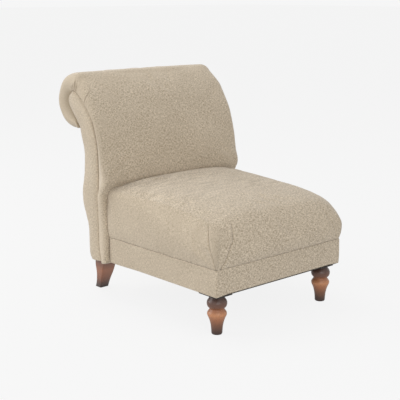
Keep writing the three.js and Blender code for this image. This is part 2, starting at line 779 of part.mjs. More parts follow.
// Front legs: turned, with a ball, a neck and a ring over a taper; shares of radius and height
const frontLegRadius = 33.5;
const legSides = 18;
const frontLegShares = [
  [0.49, 0], [0.535, 0.023], [0.555, 0.09], [0.61, 0.23], [0.69, 0.32], [0.775, 0.4],
  [0.855, 0.455], [0.885, 0.463], [0.93, 0.49], [0.967, 0.535], [0.925, 0.575], [0.82, 0.62],
  [0.74, 0.65], [0.735, 0.665], [0.835, 0.697], [0.94, 0.735], [1, 0.8], [0.985, 0.84],
  [0.9, 0.888], [0.8, 0.927], [0.7, 0.955], [0.7, 1],
];
const frontLegProfile = [
  [0, 0], ...frontLegShares.map(([radius, height]) => [radius * frontLegRadius, height * frontLegTop]),
  [holeRadius, frontLegTop], [holeRadius, frontLegTop - boltEngagement - fit],
  [0, frontLegTop - boltEngagement - fit],
];
forBothSides((side, sign) => {
  place(`front_leg_${side}`, turned(frontLegProfile, legSides), legWood, sign * frontLegX, frontLegY);
});

// Rear legs: square, swept to the rear and drawn in towards the foot.
// Each row gives height, front, rear, outer and inner side as shares of the sizes below.
const rearLegSetback = 26;       // rear of the seat unit to the front of the leg's top
const rearLegReach = 131;        // front of the top to the rear of the foot
const rearLegBreadth = 87;        // outer side of the top to the inner side of the foot
const rearFootInset = 103;       // side of the back to the inner side of the foot
const rearLegShares = [
  [0, 0.748, 1, 0.425, 0], [0.15, 0.649, 0.87, 0.517, 0.046], [0.351, 0.511, 0.74, 0.632, 0.08],
  [0.558, 0.359, 0.641, 0.747, 0.115], [0.795, 0.176, 0.55, 0.885, 0.207], [1, 0, 0.427, 1, 0.287],
];
function rearLegSolid(sign) {
  const footInner = backHalf - rearFootInset;
  const rings = rearLegShares.map(([height, front, rear, outer, inner]) => {
    const z = height * rearLegTop;
    const frontY = backPlane + rearLegSetback + front * rearLegReach;
    const rearY = backPlane + rearLegSetback + rear * rearLegReach;
    const sides = [inner, outer].map((share) => sign * (footInner + share * rearLegBreadth));
    const lowX = Math.min(...sides);
    const highX = Math.max(...sides);
    const corners = [[lowX, rearY], [lowX, frontY], [highX, frontY], [highX, rearY]];
    return corners.map(([x, y]) => new THREE.Vector3(x, y, z));
  });
  const bore = rod(holeRadius, rearLegTop - boltEngagement - fit, rearLegTop + overrun, boltSides);
  return cut(loft(rings), bore.translate(sign * rearLegX, rearBoltY, 0));
}
forBothSides((side, sign) => place(`rear_leg_${side}`, rearLegSolid(sign), legWood));

// Leg plates, bolts and nuts
const plateShape = (sign) => {
  const outer = sign * (halfWidth - plateInset);
  const inner = sign * (halfWidth - plateInset - plateWidth);
  const rear = plateInset + plateLength;
  const shape = outline([[outer, plateInset], [outer, rear], [inner, rear], [inner, plateInset]]);
  shape.holes.push(hole(sign * frontLegX, frontLegY, holeRadius));
  return shape;
};

function nutSolid(seatZ) {
  const low = seatZ - nutBarrelLength;
  const top = seatZ + fit + nutFlangeThickness;
  return turned([
    [holeRadius, low], [nutBarrelRadius, low], [nutBarrelRadius, seatZ + fit],
    [nutFlangeRadius, seatZ + fit], [nutFlangeRadius, top], [holeRadius, top], [holeRadius, low],
  ], boltSides);
}

forBothSides((side, sign) => {
  place(`leg_plate_${side}`, extrudeUp(plateShape(sign), plateBottom, plateTop), darkSteel);
  const supports = [
    ['front', frontLegX, frontLegY, frontLegTop, railBottom + blockHeight],
    ['rear', rearLegX, rearBoltY, rearLegTop, backRailTop],
  ];
  for (const [end, x, y, legTop, nutSeat] of supports) {
    const boltTop = nutSeat + fit + nutFlangeThickness + boltEnd;
    const bolt = rod(boltRadius, legTop - boltEngagement, boltTop, boltSides);
    place(`${end}_leg_bolt_${side}`, bolt, steel, sign * x, y);
    place(`${end}_leg_nut_${side}`, nutSolid(nutSeat), steel, sign * x, y);
  }
});

// Joint bolts hold the back unit to the seat unit
const jointSteps = {
  headFront: rearRailFront - fit - jointHeadThickness,
  headRear: rearRailFront - fit,
  nutFront: backRailRear + fit,
  nutRear: backRailRear + fit + jointNutThickness,
};
const jointBoltProfile = [
  [0, jointSteps.headFront], [jointHeadRadius, jointSteps.headFront],
  [jointHeadRadius, jointSteps.headRear], [boltRadius, jointSteps.headRear],
  [boltRadius, jointSteps.nutRear], [0, jointSteps.nutRear],
];
const jointNutShape = polygon(jointNutRadius, hexSides);
jointNutShape.holes.push(hole(0, 0, holeRadius));
forBothSides((side, sign) => {
  const x = sign * jointBoltPlace;
  const bolt = turned(jointBoltProfile, boltSides).rotateX(-Math.PI / 2);
  const nut = extrudeBack(jointNutShape, jointSteps.nutFront, jointSteps.nutRear);
  place(`joint_bolt_${side}`, bolt, steel, x, 0, jointBoltHeight);
  place(`joint_nut_${side}`, nut, steel, x, 0, jointBoltHeight);
});

// The origin goes under the middle of the chair's depth
const chairFront = -wallBulge;
const chairRear = rollPoint(0).x;
chair.position.y = -(chairFront + chairRear) / 2;

export default chair;
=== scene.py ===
"""Slipper chair with a scroll back: covers, facings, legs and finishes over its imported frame.

Everything is in metres in the frame's own axes: +Z up, +Y to the rear, +X to the sitter's left.
The tables of places are in millimetres and count from the floor under the front of the seat band.
"""

import json
import math

import bmesh
import bpy
import numpy as np
from bpy.props import FloatProperty, FloatVectorProperty, PointerProperty
from mathutils import Matrix, Vector


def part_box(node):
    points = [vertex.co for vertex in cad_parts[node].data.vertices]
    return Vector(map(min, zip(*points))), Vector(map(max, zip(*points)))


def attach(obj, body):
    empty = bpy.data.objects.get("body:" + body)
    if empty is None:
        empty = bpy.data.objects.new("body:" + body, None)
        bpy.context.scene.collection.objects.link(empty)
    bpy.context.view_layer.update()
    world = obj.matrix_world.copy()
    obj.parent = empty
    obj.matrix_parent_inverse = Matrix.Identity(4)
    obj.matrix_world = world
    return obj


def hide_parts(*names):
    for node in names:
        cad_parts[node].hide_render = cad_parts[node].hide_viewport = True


bl_info = {
    "name": "Slipper chair with a scroll back",
    "version": (1, 0, 0),
    "blender": (4, 5, 0),
    "location": "3D View > Sidebar > Chair",
    "description": "Covers, facings, legs and finishes of a slipper chair over its packed frame",
    "category": "Add Mesh",
}

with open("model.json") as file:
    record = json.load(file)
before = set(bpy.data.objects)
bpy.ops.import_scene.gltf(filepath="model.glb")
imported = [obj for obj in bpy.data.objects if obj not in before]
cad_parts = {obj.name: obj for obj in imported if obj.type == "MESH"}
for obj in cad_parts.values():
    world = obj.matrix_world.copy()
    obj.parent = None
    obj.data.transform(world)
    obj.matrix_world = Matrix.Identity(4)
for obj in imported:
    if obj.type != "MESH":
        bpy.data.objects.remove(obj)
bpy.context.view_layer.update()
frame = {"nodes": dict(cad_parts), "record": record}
BAND_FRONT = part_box("seat_border")[0].y
MM = 0.001
SIDES = (("left", 1.0), ("right", -1.0))

# Seat unit, in millimetres
HALF_WIDTH = 300.0
SEAT_DEPTH = 566.0
BAND_BOTTOM = 140.0
BAND_TOP = 230.0
BAND_DEEP = 4.0     # from the band's face to its inside
BAND_FOLD = 3.0     # radius of its folded lower edge, and how far its upper edge rounds down
BAND_TUCK = 1.6     # how far the upper edge turns in
WALL_TOP = 280.0
WALL_BULGE = 9.0
FRONT_ROLL = 48.0
FRONT_SIDE_ROLL = 34.0
REAR_SIDE_ROLL = 1.0
CORNER_RADII = (5.0, 16.0, 38.0)     # at the band's seam, at the top of the wall, on the top
CUSHION_FLOOR = 235.2
EDGE_HEIGHT = 149.5     # the seat's edge over the band's seam, before the drop at the front
EDGE_RISE = 25.5        # what the edge gains to the rear
EDGE_BOW = 5.0
FRONT_DROP = 39.0
DROP_LENGTH = 76.0
CROWN_POWER = 3.6
REAR_SWELL = 7.0        # behind the middle of the seat
REAR_DIP = 16.0         # where the seat rounds down against the back
SEAT_REAR = 545.0       # the depth at which the seat's height under the back is read
PINCH_RADIUS = 9.0      # of the rounding of the seat's rear edges
BACK_OVERLAP = 2.0      # how far the seat's rear passes the face of the back

# Back unit: half its width, then lines of (y, z) in millimetres
BACK_HALF = 318.0
BOARD_HALF = 305.7
SEAM_DIP = 5.0      # how deep the cloth's edge lies below the seam's plane
HEAD_DIP = 3.0      # the same round a facing's head, where it slopes down to the seam
FRONT_LINE = [
    (567, 140), (567, 187), (567.5, 235), (568, 292), (568, 350), (566, 385), (554, 408), (541.5, 436),
    (547.5, 476), (555, 518), (564.5, 560), (576.5, 604), (592.5, 648), (612.5, 690), (637, 730),
    (668, 765), (700, 794), (728, 810),
]
EDGE_RADIUS = 5.0   # of the thin rounded edges of the facings and the outside back
SCROLL_CENTRE = (738.0, 707.7)
SCROLL_RADIUS = 103.2
SCROLL_ANGLES = (60, 30, 0, -25, -50, -72, -92, -107)
SEAM_LINE = [
    (584, 140), (595, 178.8), (598, 223), (596.8, 291.4), (595, 345), (593.8, 386.5), (593.8, 421.4),
    (593.8, 456.2), (595, 495.8), (595.9, 535.3), (601.9, 572.8), (611.7, 607.7), (624.5, 645.9),
    (642.4, 680.7), (666.2, 706.9), (690.9, 725.6), (713.9, 737), (731.7, 743.1), (747.5, 738.4),
    (761.2, 725.6), (768.4, 709.5), (765.4, 693.5), (752.3, 674), (735.6, 655.3), (718.6, 636.5),
    (704.9, 618.4),
]
REAR_LINE = [
    (649.2, 140), (659.4, 164), (661.1, 223), (663.2, 256.5), (669.2, 278), (680.2, 306.1),
    (689.1, 326.9), (694.8, 355), (694.8, 391.9), (687.1, 424.1), (680.2, 465.6), (677.2, 510.5),
    (681.1, 545.4), (690.9, 576.9), (699.6, 608.4),
]


# Numbers and curves

def linear(*rgb):
    """Colour bytes from 0 to 255 as linear light: the standard screen curve undone."""
    share = np.asarray(rgb, float) / 255
    return tuple(np.where(share <= 0.04045, share / 12.92, ((share + 0.055) / 1.055) ** 2.4)) + (1.0,)


def through(points, at):
    """A natural cubic curve through points numbered 0, 1, 2 and on, read at the numbers in at.
    Its bends solve bend[i-1] + 4 bend[i] + bend[i+1] = 6 (p[i+1] - 2 p[i] + p[i-1])."""
    points = np.asarray(points, float)
    count = len(points)
    bend = np.zeros_like(points)
    beside = np.ones(count - 3)
    band = np.diag(np.full(count - 2, 4.0)) + np.diag(beside, 1) + np.diag(beside, -1)
    bend[1:-1] = np.linalg.solve(band, 6 * (points[2:] - 2 * points[1:-1] + points[:-2]))
    before = np.clip(np.floor(at).astype(int), 0, count - 2)
    b = (np.asarray(at, float) - before).reshape(-1, *[1] * (points.ndim - 1))
    a = 1 - b
    bent = (a**3 - a) * bend[before] + (b**3 - b) * bend[before + 1]
    return a * points[before] + b * points[before + 1] + bent / 6


def sampled(line, count):
    """A curve through a line's points, read at a count of evenly numbered places."""
    return through(line, np.linspace(0, len(line) - 1, count))


def smooth(low, high, value):
    """0 at low, 1 at high and 3t^2 - 2t^3 between, whichever of the two is the greater."""
    t = np.clip((value - low) / (high - low), 0, 1)
    return t * t * (3 - 2 * t)


def mix(a, b, share):
    """a at share 0 and b at share 1."""
    return a + (b - a) * share


def noise(points, size, seed):
    """Smooth noise from -1 to 1: hashed numbers on a lattice of the given size, blended by
    6t^5 - 15t^4 + 10t^3."""
    p = np.asarray(points, float) / size
    cell = np.floor(p).astype(np.int64)
    t = p - cell
    t = t * t * t * (t * (t * 6 - 15) + 10)
    total = np.zeros(p.shape[:-1])
    for corner in range(8):
        step = np.array([corner & 1, corner >> 1 & 1, corner >> 2 & 1])
        c = cell + step
        h = (c[..., 0] * 73856093) ^ (c[..., 1] * 19349663) ^ (c[..., 2] * 83492791) ^ (seed * 2654435761)
        h = (h ^ (h >> 13)) * 1274126177 & 0xFFFFFFFF
        value = ((h ^ (h >> 16)) & 0xFFFF) / 32767.5 - 1
        weight = np.prod(np.where(step == 1, t, 1 - t), axis=-1)
        total += weight * value
    return total


def path_distance(points, path):
    """Least distance from each point to a path of straight parts, and how far along the path it falls."""
    flat = points.reshape(-1, points.shape[-1])
    best = np.full(len(flat), 1e9)
    place = np.zeros(len(flat))
    start = 0.0
    for a, b in zip(path[:-1], path[1:]):
        d = b - a
        length = np.linalg.norm(d)
        t = np.clip((flat - a) @ d / max(length**2, 1e-12), 0, 1)
        away = np.linalg.norm(flat - a - t[:, None] * d, axis=1)
        nearer = away < best
        best = np.where(nearer, away, best)
        place = np.where(nearer, start + t * length, place)
        start += length
    return best.reshape(points.shape[:-1]), place.reshape(points.shape[:-1])


def grid_normals(points):
    """Unit normals of a grid: the cross product of its differences along columns and rows."""
    across = np.gradient(points, axis=1)
    up = np.gradient(points, axis=0)
    normal = np.cross(across, up)
    return normal / np.maximum(np.linalg.norm(normal, axis=-1, keepdims=True), 1e-12)


def run_length(points, axis):
    """Length along a grid's rows or columns, counted from its first point."""
    steps = np.linalg.norm(np.diff(points, axis=axis), axis=-1)
    return np.concatenate([np.zeros_like(np.take(steps, [0], axis)), np.cumsum(steps, axis)], axis)


def smoothed(grid, passes, axes=(0, 1)):
    """A grid whose inner rows and columns have been averaged with their neighbours, 1-2-1, in passes."""
    grid = grid.copy()
    for _ in range(passes):
        for axis in axes:
            lines = np.swapaxes(grid, 0, axis)
            lines[1:-1] = (lines[:-2] + 2 * lines[1:-1] + lines[2:]) / 4
    return grid


def quarter_round(away, radius):
    """Height from 0 to 1 of an edge rounded to a quarter circle, at distances from it."""
    return np.sqrt(np.clip(1 - (1 - np.clip(away / radius, 0, 1)) ** 2, 0, 1))


def placed(points):
    """Millimetres from the band's front to metres in the frame."""
    moved = np.asarray(points, float) * MM
    moved[..., 1] += BAND_FRONT
    return moved


# Meshes

def quads_of(index):
    """The four corners of each cell of a grid of vertex numbers."""
    corners = [index[:-1, :-1], index[:-1, 1:], index[1:, 1:], index[1:, :-1]]
    return np.stack(corners, axis=-1).reshape(-1, 4)


def rims(outer, inner):
    """The four borders that close the gap between two grids of one shape."""
    borders = [(grid[0], grid[-1], grid[:, 0], grid[:, -1]) for grid in (outer, inner)]
    return [np.stack(pair) for pair in zip(*borders)]


def make_piece(name, grids, replaces, material, merge=2e-5):
    """A mesh object from grids, each with points in metres and, where the cloth needs them, a uv map in
    metres, the distance to the nearest seam that sets its painted seam shade, how much the pile stands up,
    how much it is brushed into streaks and its tone's lift, painted light above 0 and painted shade below 0.
    Grids that meet are merged."""
    coords, faces, uvs = [], [], []
    marks = {"seam": (1.0, []), "nap": (1.0, []), "brush": (0.0, []), "lift": (0.0, [])}
    start = 0
    for grid in grids:
        points = grid["points"]
        rows, columns = points.shape[:2]
        index = np.arange(rows * columns).reshape(rows, columns) + start
        if grid.get("wrap"):
            index = np.concatenate([index, index[:, :1]], axis=1)
        coords.append(points.reshape(-1, 3))
        faces.append(quads_of(index))
        uvs.append(np.asarray(grid.get("uv", points[..., :2])).reshape(-1, 2))
        for key, (usual, values) in marks.items():
            values.append(np.broadcast_to(grid.get(key, usual), (rows, columns)).reshape(-1))
        start += rows * columns
    coords = np.concatenate(coords)
    faces = np.concatenate(faces)
    mesh = bpy.data.meshes.new(name)
    mesh.from_pydata(coords.tolist(), [], faces.tolist())
    layer = mesh.uv_layers.new(name="cloth")
    layer.data.foreach_set("uv", np.concatenate(uvs)[faces.reshape(-1)].astype(np.float32).ravel())
    for key, (usual, values) in marks.items():
        attribute = mesh.attributes.new(key, "FLOAT", "POINT")
        attribute.data.foreach_set("value", np.concatenate(values).astype(np.float32))
    edit = bmesh.new()
    edit.from_mesh(mesh)
    bmesh.ops.remove_doubles(edit, verts=edit.verts, dist=merge)
    loose = [v for v in edit.verts if not v.link_faces]
    bmesh.ops.delete(edit, geom=loose, context="VERTS")
    bmesh.ops.holes_fill(edit, edges=[e for e in edit.edges if e.is_boundary], sides=0)
    bmesh.ops.recalc_face_normals(edit, faces=edit.faces)
    edit.to_mesh(mesh)
    edit.free()
    mesh.shade_smooth()
    piece = bpy.data.objects.new(name, mesh)
    bpy.context.scene.collection.objects.link(piece)
    mesh.materials.append(material)
    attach(piece, "root")
    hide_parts(*replaces)
    return piece


def apply_modifiers(piece):
    """Makes what the piece's modifiers give into its mesh."""
    graph = bpy.context.evaluated_depsgraph_get()
    mesh = bpy.data.meshes.new_from_object(
        piece.evaluated_get(graph), preserve_all_data_layers=True, depsgraph=graph)
    piece.modifiers.clear()
    old = piece.data
    piece.data = mesh
    bpy.data.meshes.remove(old)


# Cloth blown up by simulation

COVER = {
    "quality": 12, "mass": 0.3, "tension_stiffness": 200, "compression_stiffness": 200,
    "shear_stiffness": 60, "bending_stiffness": 2, "air_damping": 2, "use_pressure": True,
}
COVER_SPACING = 10.0    # between its points, in millimetres, as are the next two
COVER_SLACK = 2.0       # how far inside the drawn shape it starts
COVER_LIMIT = 2.5       # how far from the drawn shape it may end
COVER_PRESSURE = 4.0
COVER_FRAMES = 20
KEPT_SWELL = 0.15       # share of its wide swelling that is kept
WIDE_PASSES = 16        # of smoothing, which leave only the wide swelling


def spread(values, picked, count):
    """Values at the picked rows of a grid carried over all its rows by cubic curves."""
    at = np.interp(np.arange(count), picked, np.arange(len(picked)))
    return through(values.reshape(len(values), -1), at).reshape(count, *values.shape[1:])


def picked_lines(rows):
    """Numbers of the rows and of the columns that lie about one spacing apart along the grid's middle."""
    picked = []
    for line in (rows[:, rows.shape[1] // 2], rows[rows.shape[0] // 2]):
        length = run_length(line, 0)
        marks = np.searchsorted(length, np.arange(0, length[-1], COVER_SPACING))
        picked.append(np.unique(np.append(marks, len(length) - 1)))
    return picked


def cover_mesh(start):
    """A mesh of the grid, with points that coincide made one, and the vertex number of each place."""
    points, index = np.unique(np.round(placed(start).reshape(-1, 3), 5), axis=0, return_inverse=True)
    index = index.reshape(start.shape[:2])
    faces = [tuple(dict.fromkeys(face)) for face in quads_of(index).tolist()]
    mesh = bpy.data.meshes.new("blown")
    mesh.from_pydata(points.tolist(), [], [face for face in faces if len(face) > 2])
    edit = bmesh.new()
    edit.from_mesh(mesh)
    bmesh.ops.recalc_face_normals(edit, faces=edit.faces)
    edit.to_mesh(mesh)
    edit.free()
    return mesh, index


def pressed_out(mesh, pins, outward):
    """Where the vertices of a cover, held at its pins, are after it has been under pressure, in metres."""
    scene = bpy.context.scene
    piece = bpy.data.objects.new("blown", mesh)
    scene.collection.objects.link(piece)
    piece.vertex_groups.new(name="held").add(pins, 1.0, "REPLACE")
    facing_out = sum(face.normal.dot(Vector(outward[face.vertices[0]])) for face in mesh.polygons)
    cloth = piece.modifiers.new("cover", "CLOTH")
    for name, value in COVER.items():
        setattr(cloth.settings, name, value)
    cloth.settings.uniform_pressure_force = math.copysign(COVER_PRESSURE, facing_out)
    cloth.settings.vertex_group_mass = "held"
    cloth.settings.effector_weights.gravity = 0
    cloth.collision_settings.use_collision = False
    for step in range(1, COVER_FRAMES + 1):
        scene.frame_set(step)
    after = np.empty(len(mesh.vertices) * 3)
    graph = bpy.context.evaluated_depsgraph_get()
    piece.evaluated_get(graph).data.vertices.foreach_get("co", after)
    scene.frame_set(1)
    bpy.data.objects.remove(piece)
    bpy.data.meshes.remove(mesh)
    return after.reshape(-1, 3)


def blown(rows, outward, held):
    """The grid after its cover has been blown up as cloth. The cover starts a little inside the drawn
    shape and is held where held is set. Of how far it ends from the drawn shape, a share of the wide
    part and all of the folds is kept; that, g, is limited to limit * tanh(|g| / limit)."""
    down, along = picked_lines(rows)
    chosen = np.ix_(down, along)
    free = np.where(held, 0.0, 1.0)
    for axis in (0, 1):
        for _ in range(12):
            free = np.minimum(free, (np.roll(free, 1, axis) + free + np.roll(free, -1, axis)) / 3)
    mesh, index = cover_mesh(rows[chosen] - outward[chosen] * COVER_SLACK * free[chosen][..., None])
    out_there = np.zeros((len(mesh.vertices), 3))
    out_there[index] = outward[chosen]
    pins = np.unique(index[held[chosen]]).tolist()
    gap = (pressed_out(mesh, pins, out_there)[index] - placed(rows[chosen])) / MM
    gap -= smoothed(gap, WIDE_PASSES) * (1 - KEPT_SWELL)
    size = np.maximum(np.linalg.norm(gap, axis=-1, keepdims=True), 1e-6)
    gap *= COVER_LIMIT * np.tanh(size / COVER_LIMIT) / size
    gap = spread(gap, down, rows.shape[0])
    return rows + np.swapaxes(spread(np.swapaxes(gap, 0, 1), along, rows.shape[1]), 0, 1)


# Finishes

class Value:
    """A socket that varies over a surface. Python arithmetic on it adds Math nodes."""

    def __init__(self, finish, socket):
        self.finish = finish
        self.socket = socket

    def maths(self, operation, *others):
        inputs = dict(enumerate((self, *others)))
        return self.finish.node("Math", {"operation": operation}, inputs)

    def __add__(self, other):
        return self.maths("ADD", other)

    def __sub__(self, other):
        return self.maths("SUBTRACT", other)

    def __rsub__(self, other):
        return self.finish.node("Math", {"operation": "SUBTRACT"}, {0: other, 1: self})

    def __mul__(self, other):
        return self.maths("MULTIPLY", other)

    __radd__ = __add__
    __rmul__ = __mul__

    def sine(self):
        return self.maths("SINE")

    def within(self, low=0.0, high=1.0):
        return self.maths("MAXIMUM", low).maths("MINIMUM", high)

    def rise(self, low, high):
        """0 below low and 1 above high."""
        return self.finish.node(
            "MapRange", {"interpolation_type": "SMOOTHSTEP"},
            {"Value": self, "From Min": low, "From Max": high},
        )


class Finish:
    """The nodes of a material, or of the world if one is given."""

    def __init__(self, name, world=None):
        self.material = world or bpy.data.materials.new(name)
        self.material.use_nodes = True
        self.tree = self.material.node_tree
        self.tree.nodes.clear()

    def node(self, kind, settings=None, inputs=None, output=0):
        """Adds a node, gives it its settings, feeds its sockets and returns one output."""
        made = self.tree.nodes.new("ShaderNode" + kind)
        for key, value in (settings or {}).items():
            if key == "stops":
                ramp = made.color_ramp
                while len(ramp.elements) < len(value):
                    ramp.elements.new(0.5)
                for element, (place, colour) in zip(ramp.elements, value):
                    element.position = place
                    element.color = colour
            else:
                setattr(made, key, value)
        for key, value in (inputs or {}).items():
            if isinstance(value, Value):
                self.tree.links.new(value.socket, made.inputs[key])
            else:
                made.inputs[key].default_value = value
        return Value(self, made.outputs[output]) if made.outputs else None

    def place(self):
        return self.node("TexCoord", output="Object")

    def axis(self, vector, name):
        return self.node("SeparateXYZ", inputs={0: vector}, output=name)

    def noise(self, vector, size, squeeze=None, detail=2.0, roughness=0.5, distortion=0.0):
        """Noise about 0, of features of the given size in metres, longer by 1 over each axis's squeeze."""
        if squeeze:
            vector = self.node("VectorMath", {"operation": "MULTIPLY"}, {0: vector, 1: squeeze})
        made = self.node("TexNoise", inputs={
            "Vector": vector, "Scale": 1 / size, "Detail": detail, "Roughness": roughness,
            "Distortion": distortion,
        })
        return made - 0.5

    def attribute(self, name):
        return self.node("Attribute", {"attribute_name": name}, output="Fac")

    def blend(self, a, b, share):
        return self.node("Mix", {"data_type": "RGBA"}, {0: share, 6: a, 7: b}, output=2)

    def ramp(self, value, stops):
        return self.node("ValToRGB", {"stops": stops}, {0: value})

    def bump(self, height, depth, strength=1.0, normal=None):
        inputs = {"Height": height, "Distance": depth, "Strength": strength}
        if normal:
            inputs["Normal"] = normal
        return self.node("Bump", inputs=inputs)

    def surface(self, **sockets):
        """The Principled shader, with its sockets named in words joined by underscores."""
        inputs = {key.replace("_", " "): value for key, value in sockets.items()}
        shader = self.node("BsdfPrincipled", inputs=inputs)
        self.node("OutputMaterial", inputs={"Surface": shader})
        return self.material


TUFT_STRETCH = 0.27
TUFT_PITCH = 0.0024
YARN_ROWS = 0.0024
YARN_WIDTH = 0.0017
SEAM_CORE = 0.0003      # half the width of the darkest line of painted seam shade, in metres
SEAM_REACH = 0.0026     # from its middle to where the painted seam shade ends
PAINTED_SEAM_SHADE = 0.62


def chenille(name, light, dark, seam_shade_colour):
    """Cream chenille: standing pile in specks and short crossed tufts, softer mottles, faint rows of yarn,
    brushed streaks and a line of painted shade where the cloth dips into a seam."""
    f = Finish(name)
    p = f.place()
    uv = f.node("UVMap", {"uv_map": "cloth"})
    nap = f.attribute("nap")
    seam = f.attribute("seam")
    brush = f.attribute("brush")
    lift = f.attribute("lift")
    speck = f.noise(p, 0.0031, roughness=0.7)
    tuft = f.noise(p, 0.0017, detail=1.0)
    level = f.noise(uv, TUFT_PITCH, (TUFT_STRETCH, 1.0, 1.0), detail=1.0)
    upright = f.noise(uv, TUFT_PITCH, (1.0, TUFT_STRETCH, 1.0), detail=1.0)
    mottle = f.noise(p, 0.014, detail=3.0, roughness=0.6)
    patch = f.noise(p, 0.09)
    thick = f.noise(p, 0.05, roughness=0.6)
    streak = f.noise(uv, 0.017, (0.22, 1.0, 1.0), detail=3.0, roughness=0.6, distortion=0.6)
    across = f.axis(uv, "X")
    along = f.axis(uv, "Y")
    drift = f.noise(p, 0.02, detail=1.0) * 0.5
    rows = (along * (2 * math.pi / YARN_ROWS) + drift * 6.0).sine()
    yarn = (across * (2 * math.pi / YARN_WIDTH) + rows * 0.9).sine()
    weave = rows * yarn
    grain = speck * 1.15 + level * 2.2 + upright * 2.2 + tuft * 0.6 + mottle * 0.3 + weave * 0.04
    # lift adds painted light (above 0) and painted shade (below 0) to the tone
    tone = (grain * nap * (thick * 1.8 + 1.0) + streak * brush * 2.6 + patch * 0.3 + lift + 0.5).within()
    cloth = f.blend(dark, light, tone)
    # painted shade: near a seam the cloth is darkened towards the seam colour, as shade in the crease
    dip = (1 - seam.rise(SEAM_CORE, SEAM_REACH)) * PAINTED_SEAM_SHADE
    cloth = f.blend(cloth, seam_shade_colour, dip)
    height = (speck + level * 0.6 + upright * 0.6 + mottle * 0.5) * nap + streak * brush * 1.8 + weave * 0.12
    stitched = f.bump(seam.rise(0.0, 0.0035), 0.0012, 0.8)
    normal = f.bump(height, 0.0016, 0.8, stitched)
    return f.surface(
        Base_Color=cloth, Roughness=1.0 - tone * 0.12, Normal=normal,
        Sheen_Weight=0.35, Sheen_Roughness=0.4, Specular_IOR_Level=0.1,
    )


def turned_wood(name, stops, height):
    """Stained wood: colours by height, which darken to painted shade at the top under the seat and grow
    darker towards the foot, grain along the leg, pores, and a satin lacquer.
    """
    f = Finish(name)
    p = f.place()
    z = f.axis(p, "Z")
    grain = f.noise(p, 0.0022, (1.0, 1.0, 0.09), detail=4.0, roughness=0.6, distortion=0.4)
    figure = f.noise(p, 0.012, (1.0, 1.0, 0.2))
    level = (z * (1 / height) + figure * 0.05 + grain * 0.03).within()
    # painted shade: the colours by height darken the leg's top, under the seat
    wood = f.ramp(level, stops)
    wood = f.blend(wood, linear(52, 33, 25), (grain * 1.8).within(0.0, 0.45))
    pores = f.noise(p, 0.0009, (1.0, 1.0, 0.05))
    return f.surface(
        Base_Color=wood, Roughness=0.42 + grain * 0.2, Normal=f.bump(pores, 0.0002, 0.35),
        Coat_Weight=0.25, Coat_Roughness=0.28, Specular_IOR_Level=0.4,
    )


def sawn_wood(name, light, dark, along=(0.08, 1.0, 1.0)):
    """Plain rail timber: long pale grain, rings and a sawn surface."""
    f = Finish(name)
    p = f.place()
    grain = f.noise(p, 0.004, along, detail=4.0, roughness=0.6, distortion=0.6)
    rings = f.noise(p, 0.02, along, distortion=1.2)
    wood = f.blend(dark, light, (grain * 1.4 + rings + 0.5).within())
    return f.surface(Base_Color=wood, Roughness=0.75 + grain * 0.2, Normal=f.bump(grain, 0.0004, 0.5))


def metal(name, colour, roughness, metallic):
    """Bare or painted metal with fine scratches and dull patches."""
    f = Finish(name)
    p = f.place()
    dull = f.noise(p, 0.006, detail=3.0)
    scratch = f.noise(p, 0.0009, (0.15, 1.0, 1.0))
    tone = f.blend(colour, linear(20, 19, 18), (dull * 0.5 + 0.1).within())
    return f.surface(
        Base_Color=tone, Metallic=metallic, Roughness=(roughness + dull * 0.25).within(),
        Normal=f.bump(scratch, 0.00015, 0.5),
    )


def plain_cloth(name, light, dark, pitch):
    """Thin lining cloth or felt: crossed threads of the given pitch with loose fibres."""
    f = Finish(name)
    p = f.place()
    x, y = f.axis(p, "X"), f.axis(p, "Y")
    weave = (x * (2 * math.pi / pitch)).sine() * (y * (2 * math.pi / pitch)).sine()
    fibre = f.noise(p, 0.003, detail=3.0)
    tone = (weave * 0.2 + fibre * 1.2 + 0.5).within()
    return f.surface(
        Base_Color=f.blend(dark, light, tone), Roughness=0.95 - fibre * 0.1,
        Normal=f.bump(weave * 0.4 + fibre, 0.0005, 0.6),
    )


def cellular_foam(name, light, dark):
    """Open foam: fine cells and a slight yellowing."""
    f = Finish(name)
    p = f.place()
    cells = f.noise(p, 0.0016)
    stain = f.noise(p, 0.05)
    return f.surface(
        Base_Color=f.blend(dark, light, (stain * 1.2 + 0.5).within()), Roughness=0.95 + cells * 0.05,
        Normal=f.bump(cells, 0.0008, 0.8),
    )


# Settings that a user may change

class ChairSizes(bpy.types.PropertyGroup):
    seat_crown: FloatProperty(
        name="Seat crown", description="Rise of the seat from its side edges to the middle",
        default=0.0285, min=0, max=0.05, unit="LENGTH")
    seam_depth: FloatProperty(
        name="Seam depth", description="How deep the cloth dips into a seam",
        default=0.0022, min=0, max=0.006, unit="LENGTH")
    wrinkle_height: FloatProperty(
        name="Wrinkles", description="Height of the soft unevenness of the padded faces",
        default=0.0012, min=0, max=0.006, unit="LENGTH")
    pleat_depth: FloatProperty(
        name="Pleats", description="Depth of the pleats round the scroll's ends",
        default=0.0032, min=0, max=0.01, unit="LENGTH")
    back_corner: FloatProperty(
        name="Back edge radius", description="Radius of the inside back's long edges",
        default=0.017, min=0.01, max=0.03, unit="LENGTH")
    facing_dome: FloatProperty(
        name="Facing dome", description="Height of the facings over the seams round them",
        default=0.0115, min=0, max=0.015, unit="LENGTH")
    foot_rounding: FloatProperty(
        name="Rear leg edges", description="Radius of the rear legs' long edges",
        default=0.0035, min=0.001, max=0.008, unit="LENGTH")


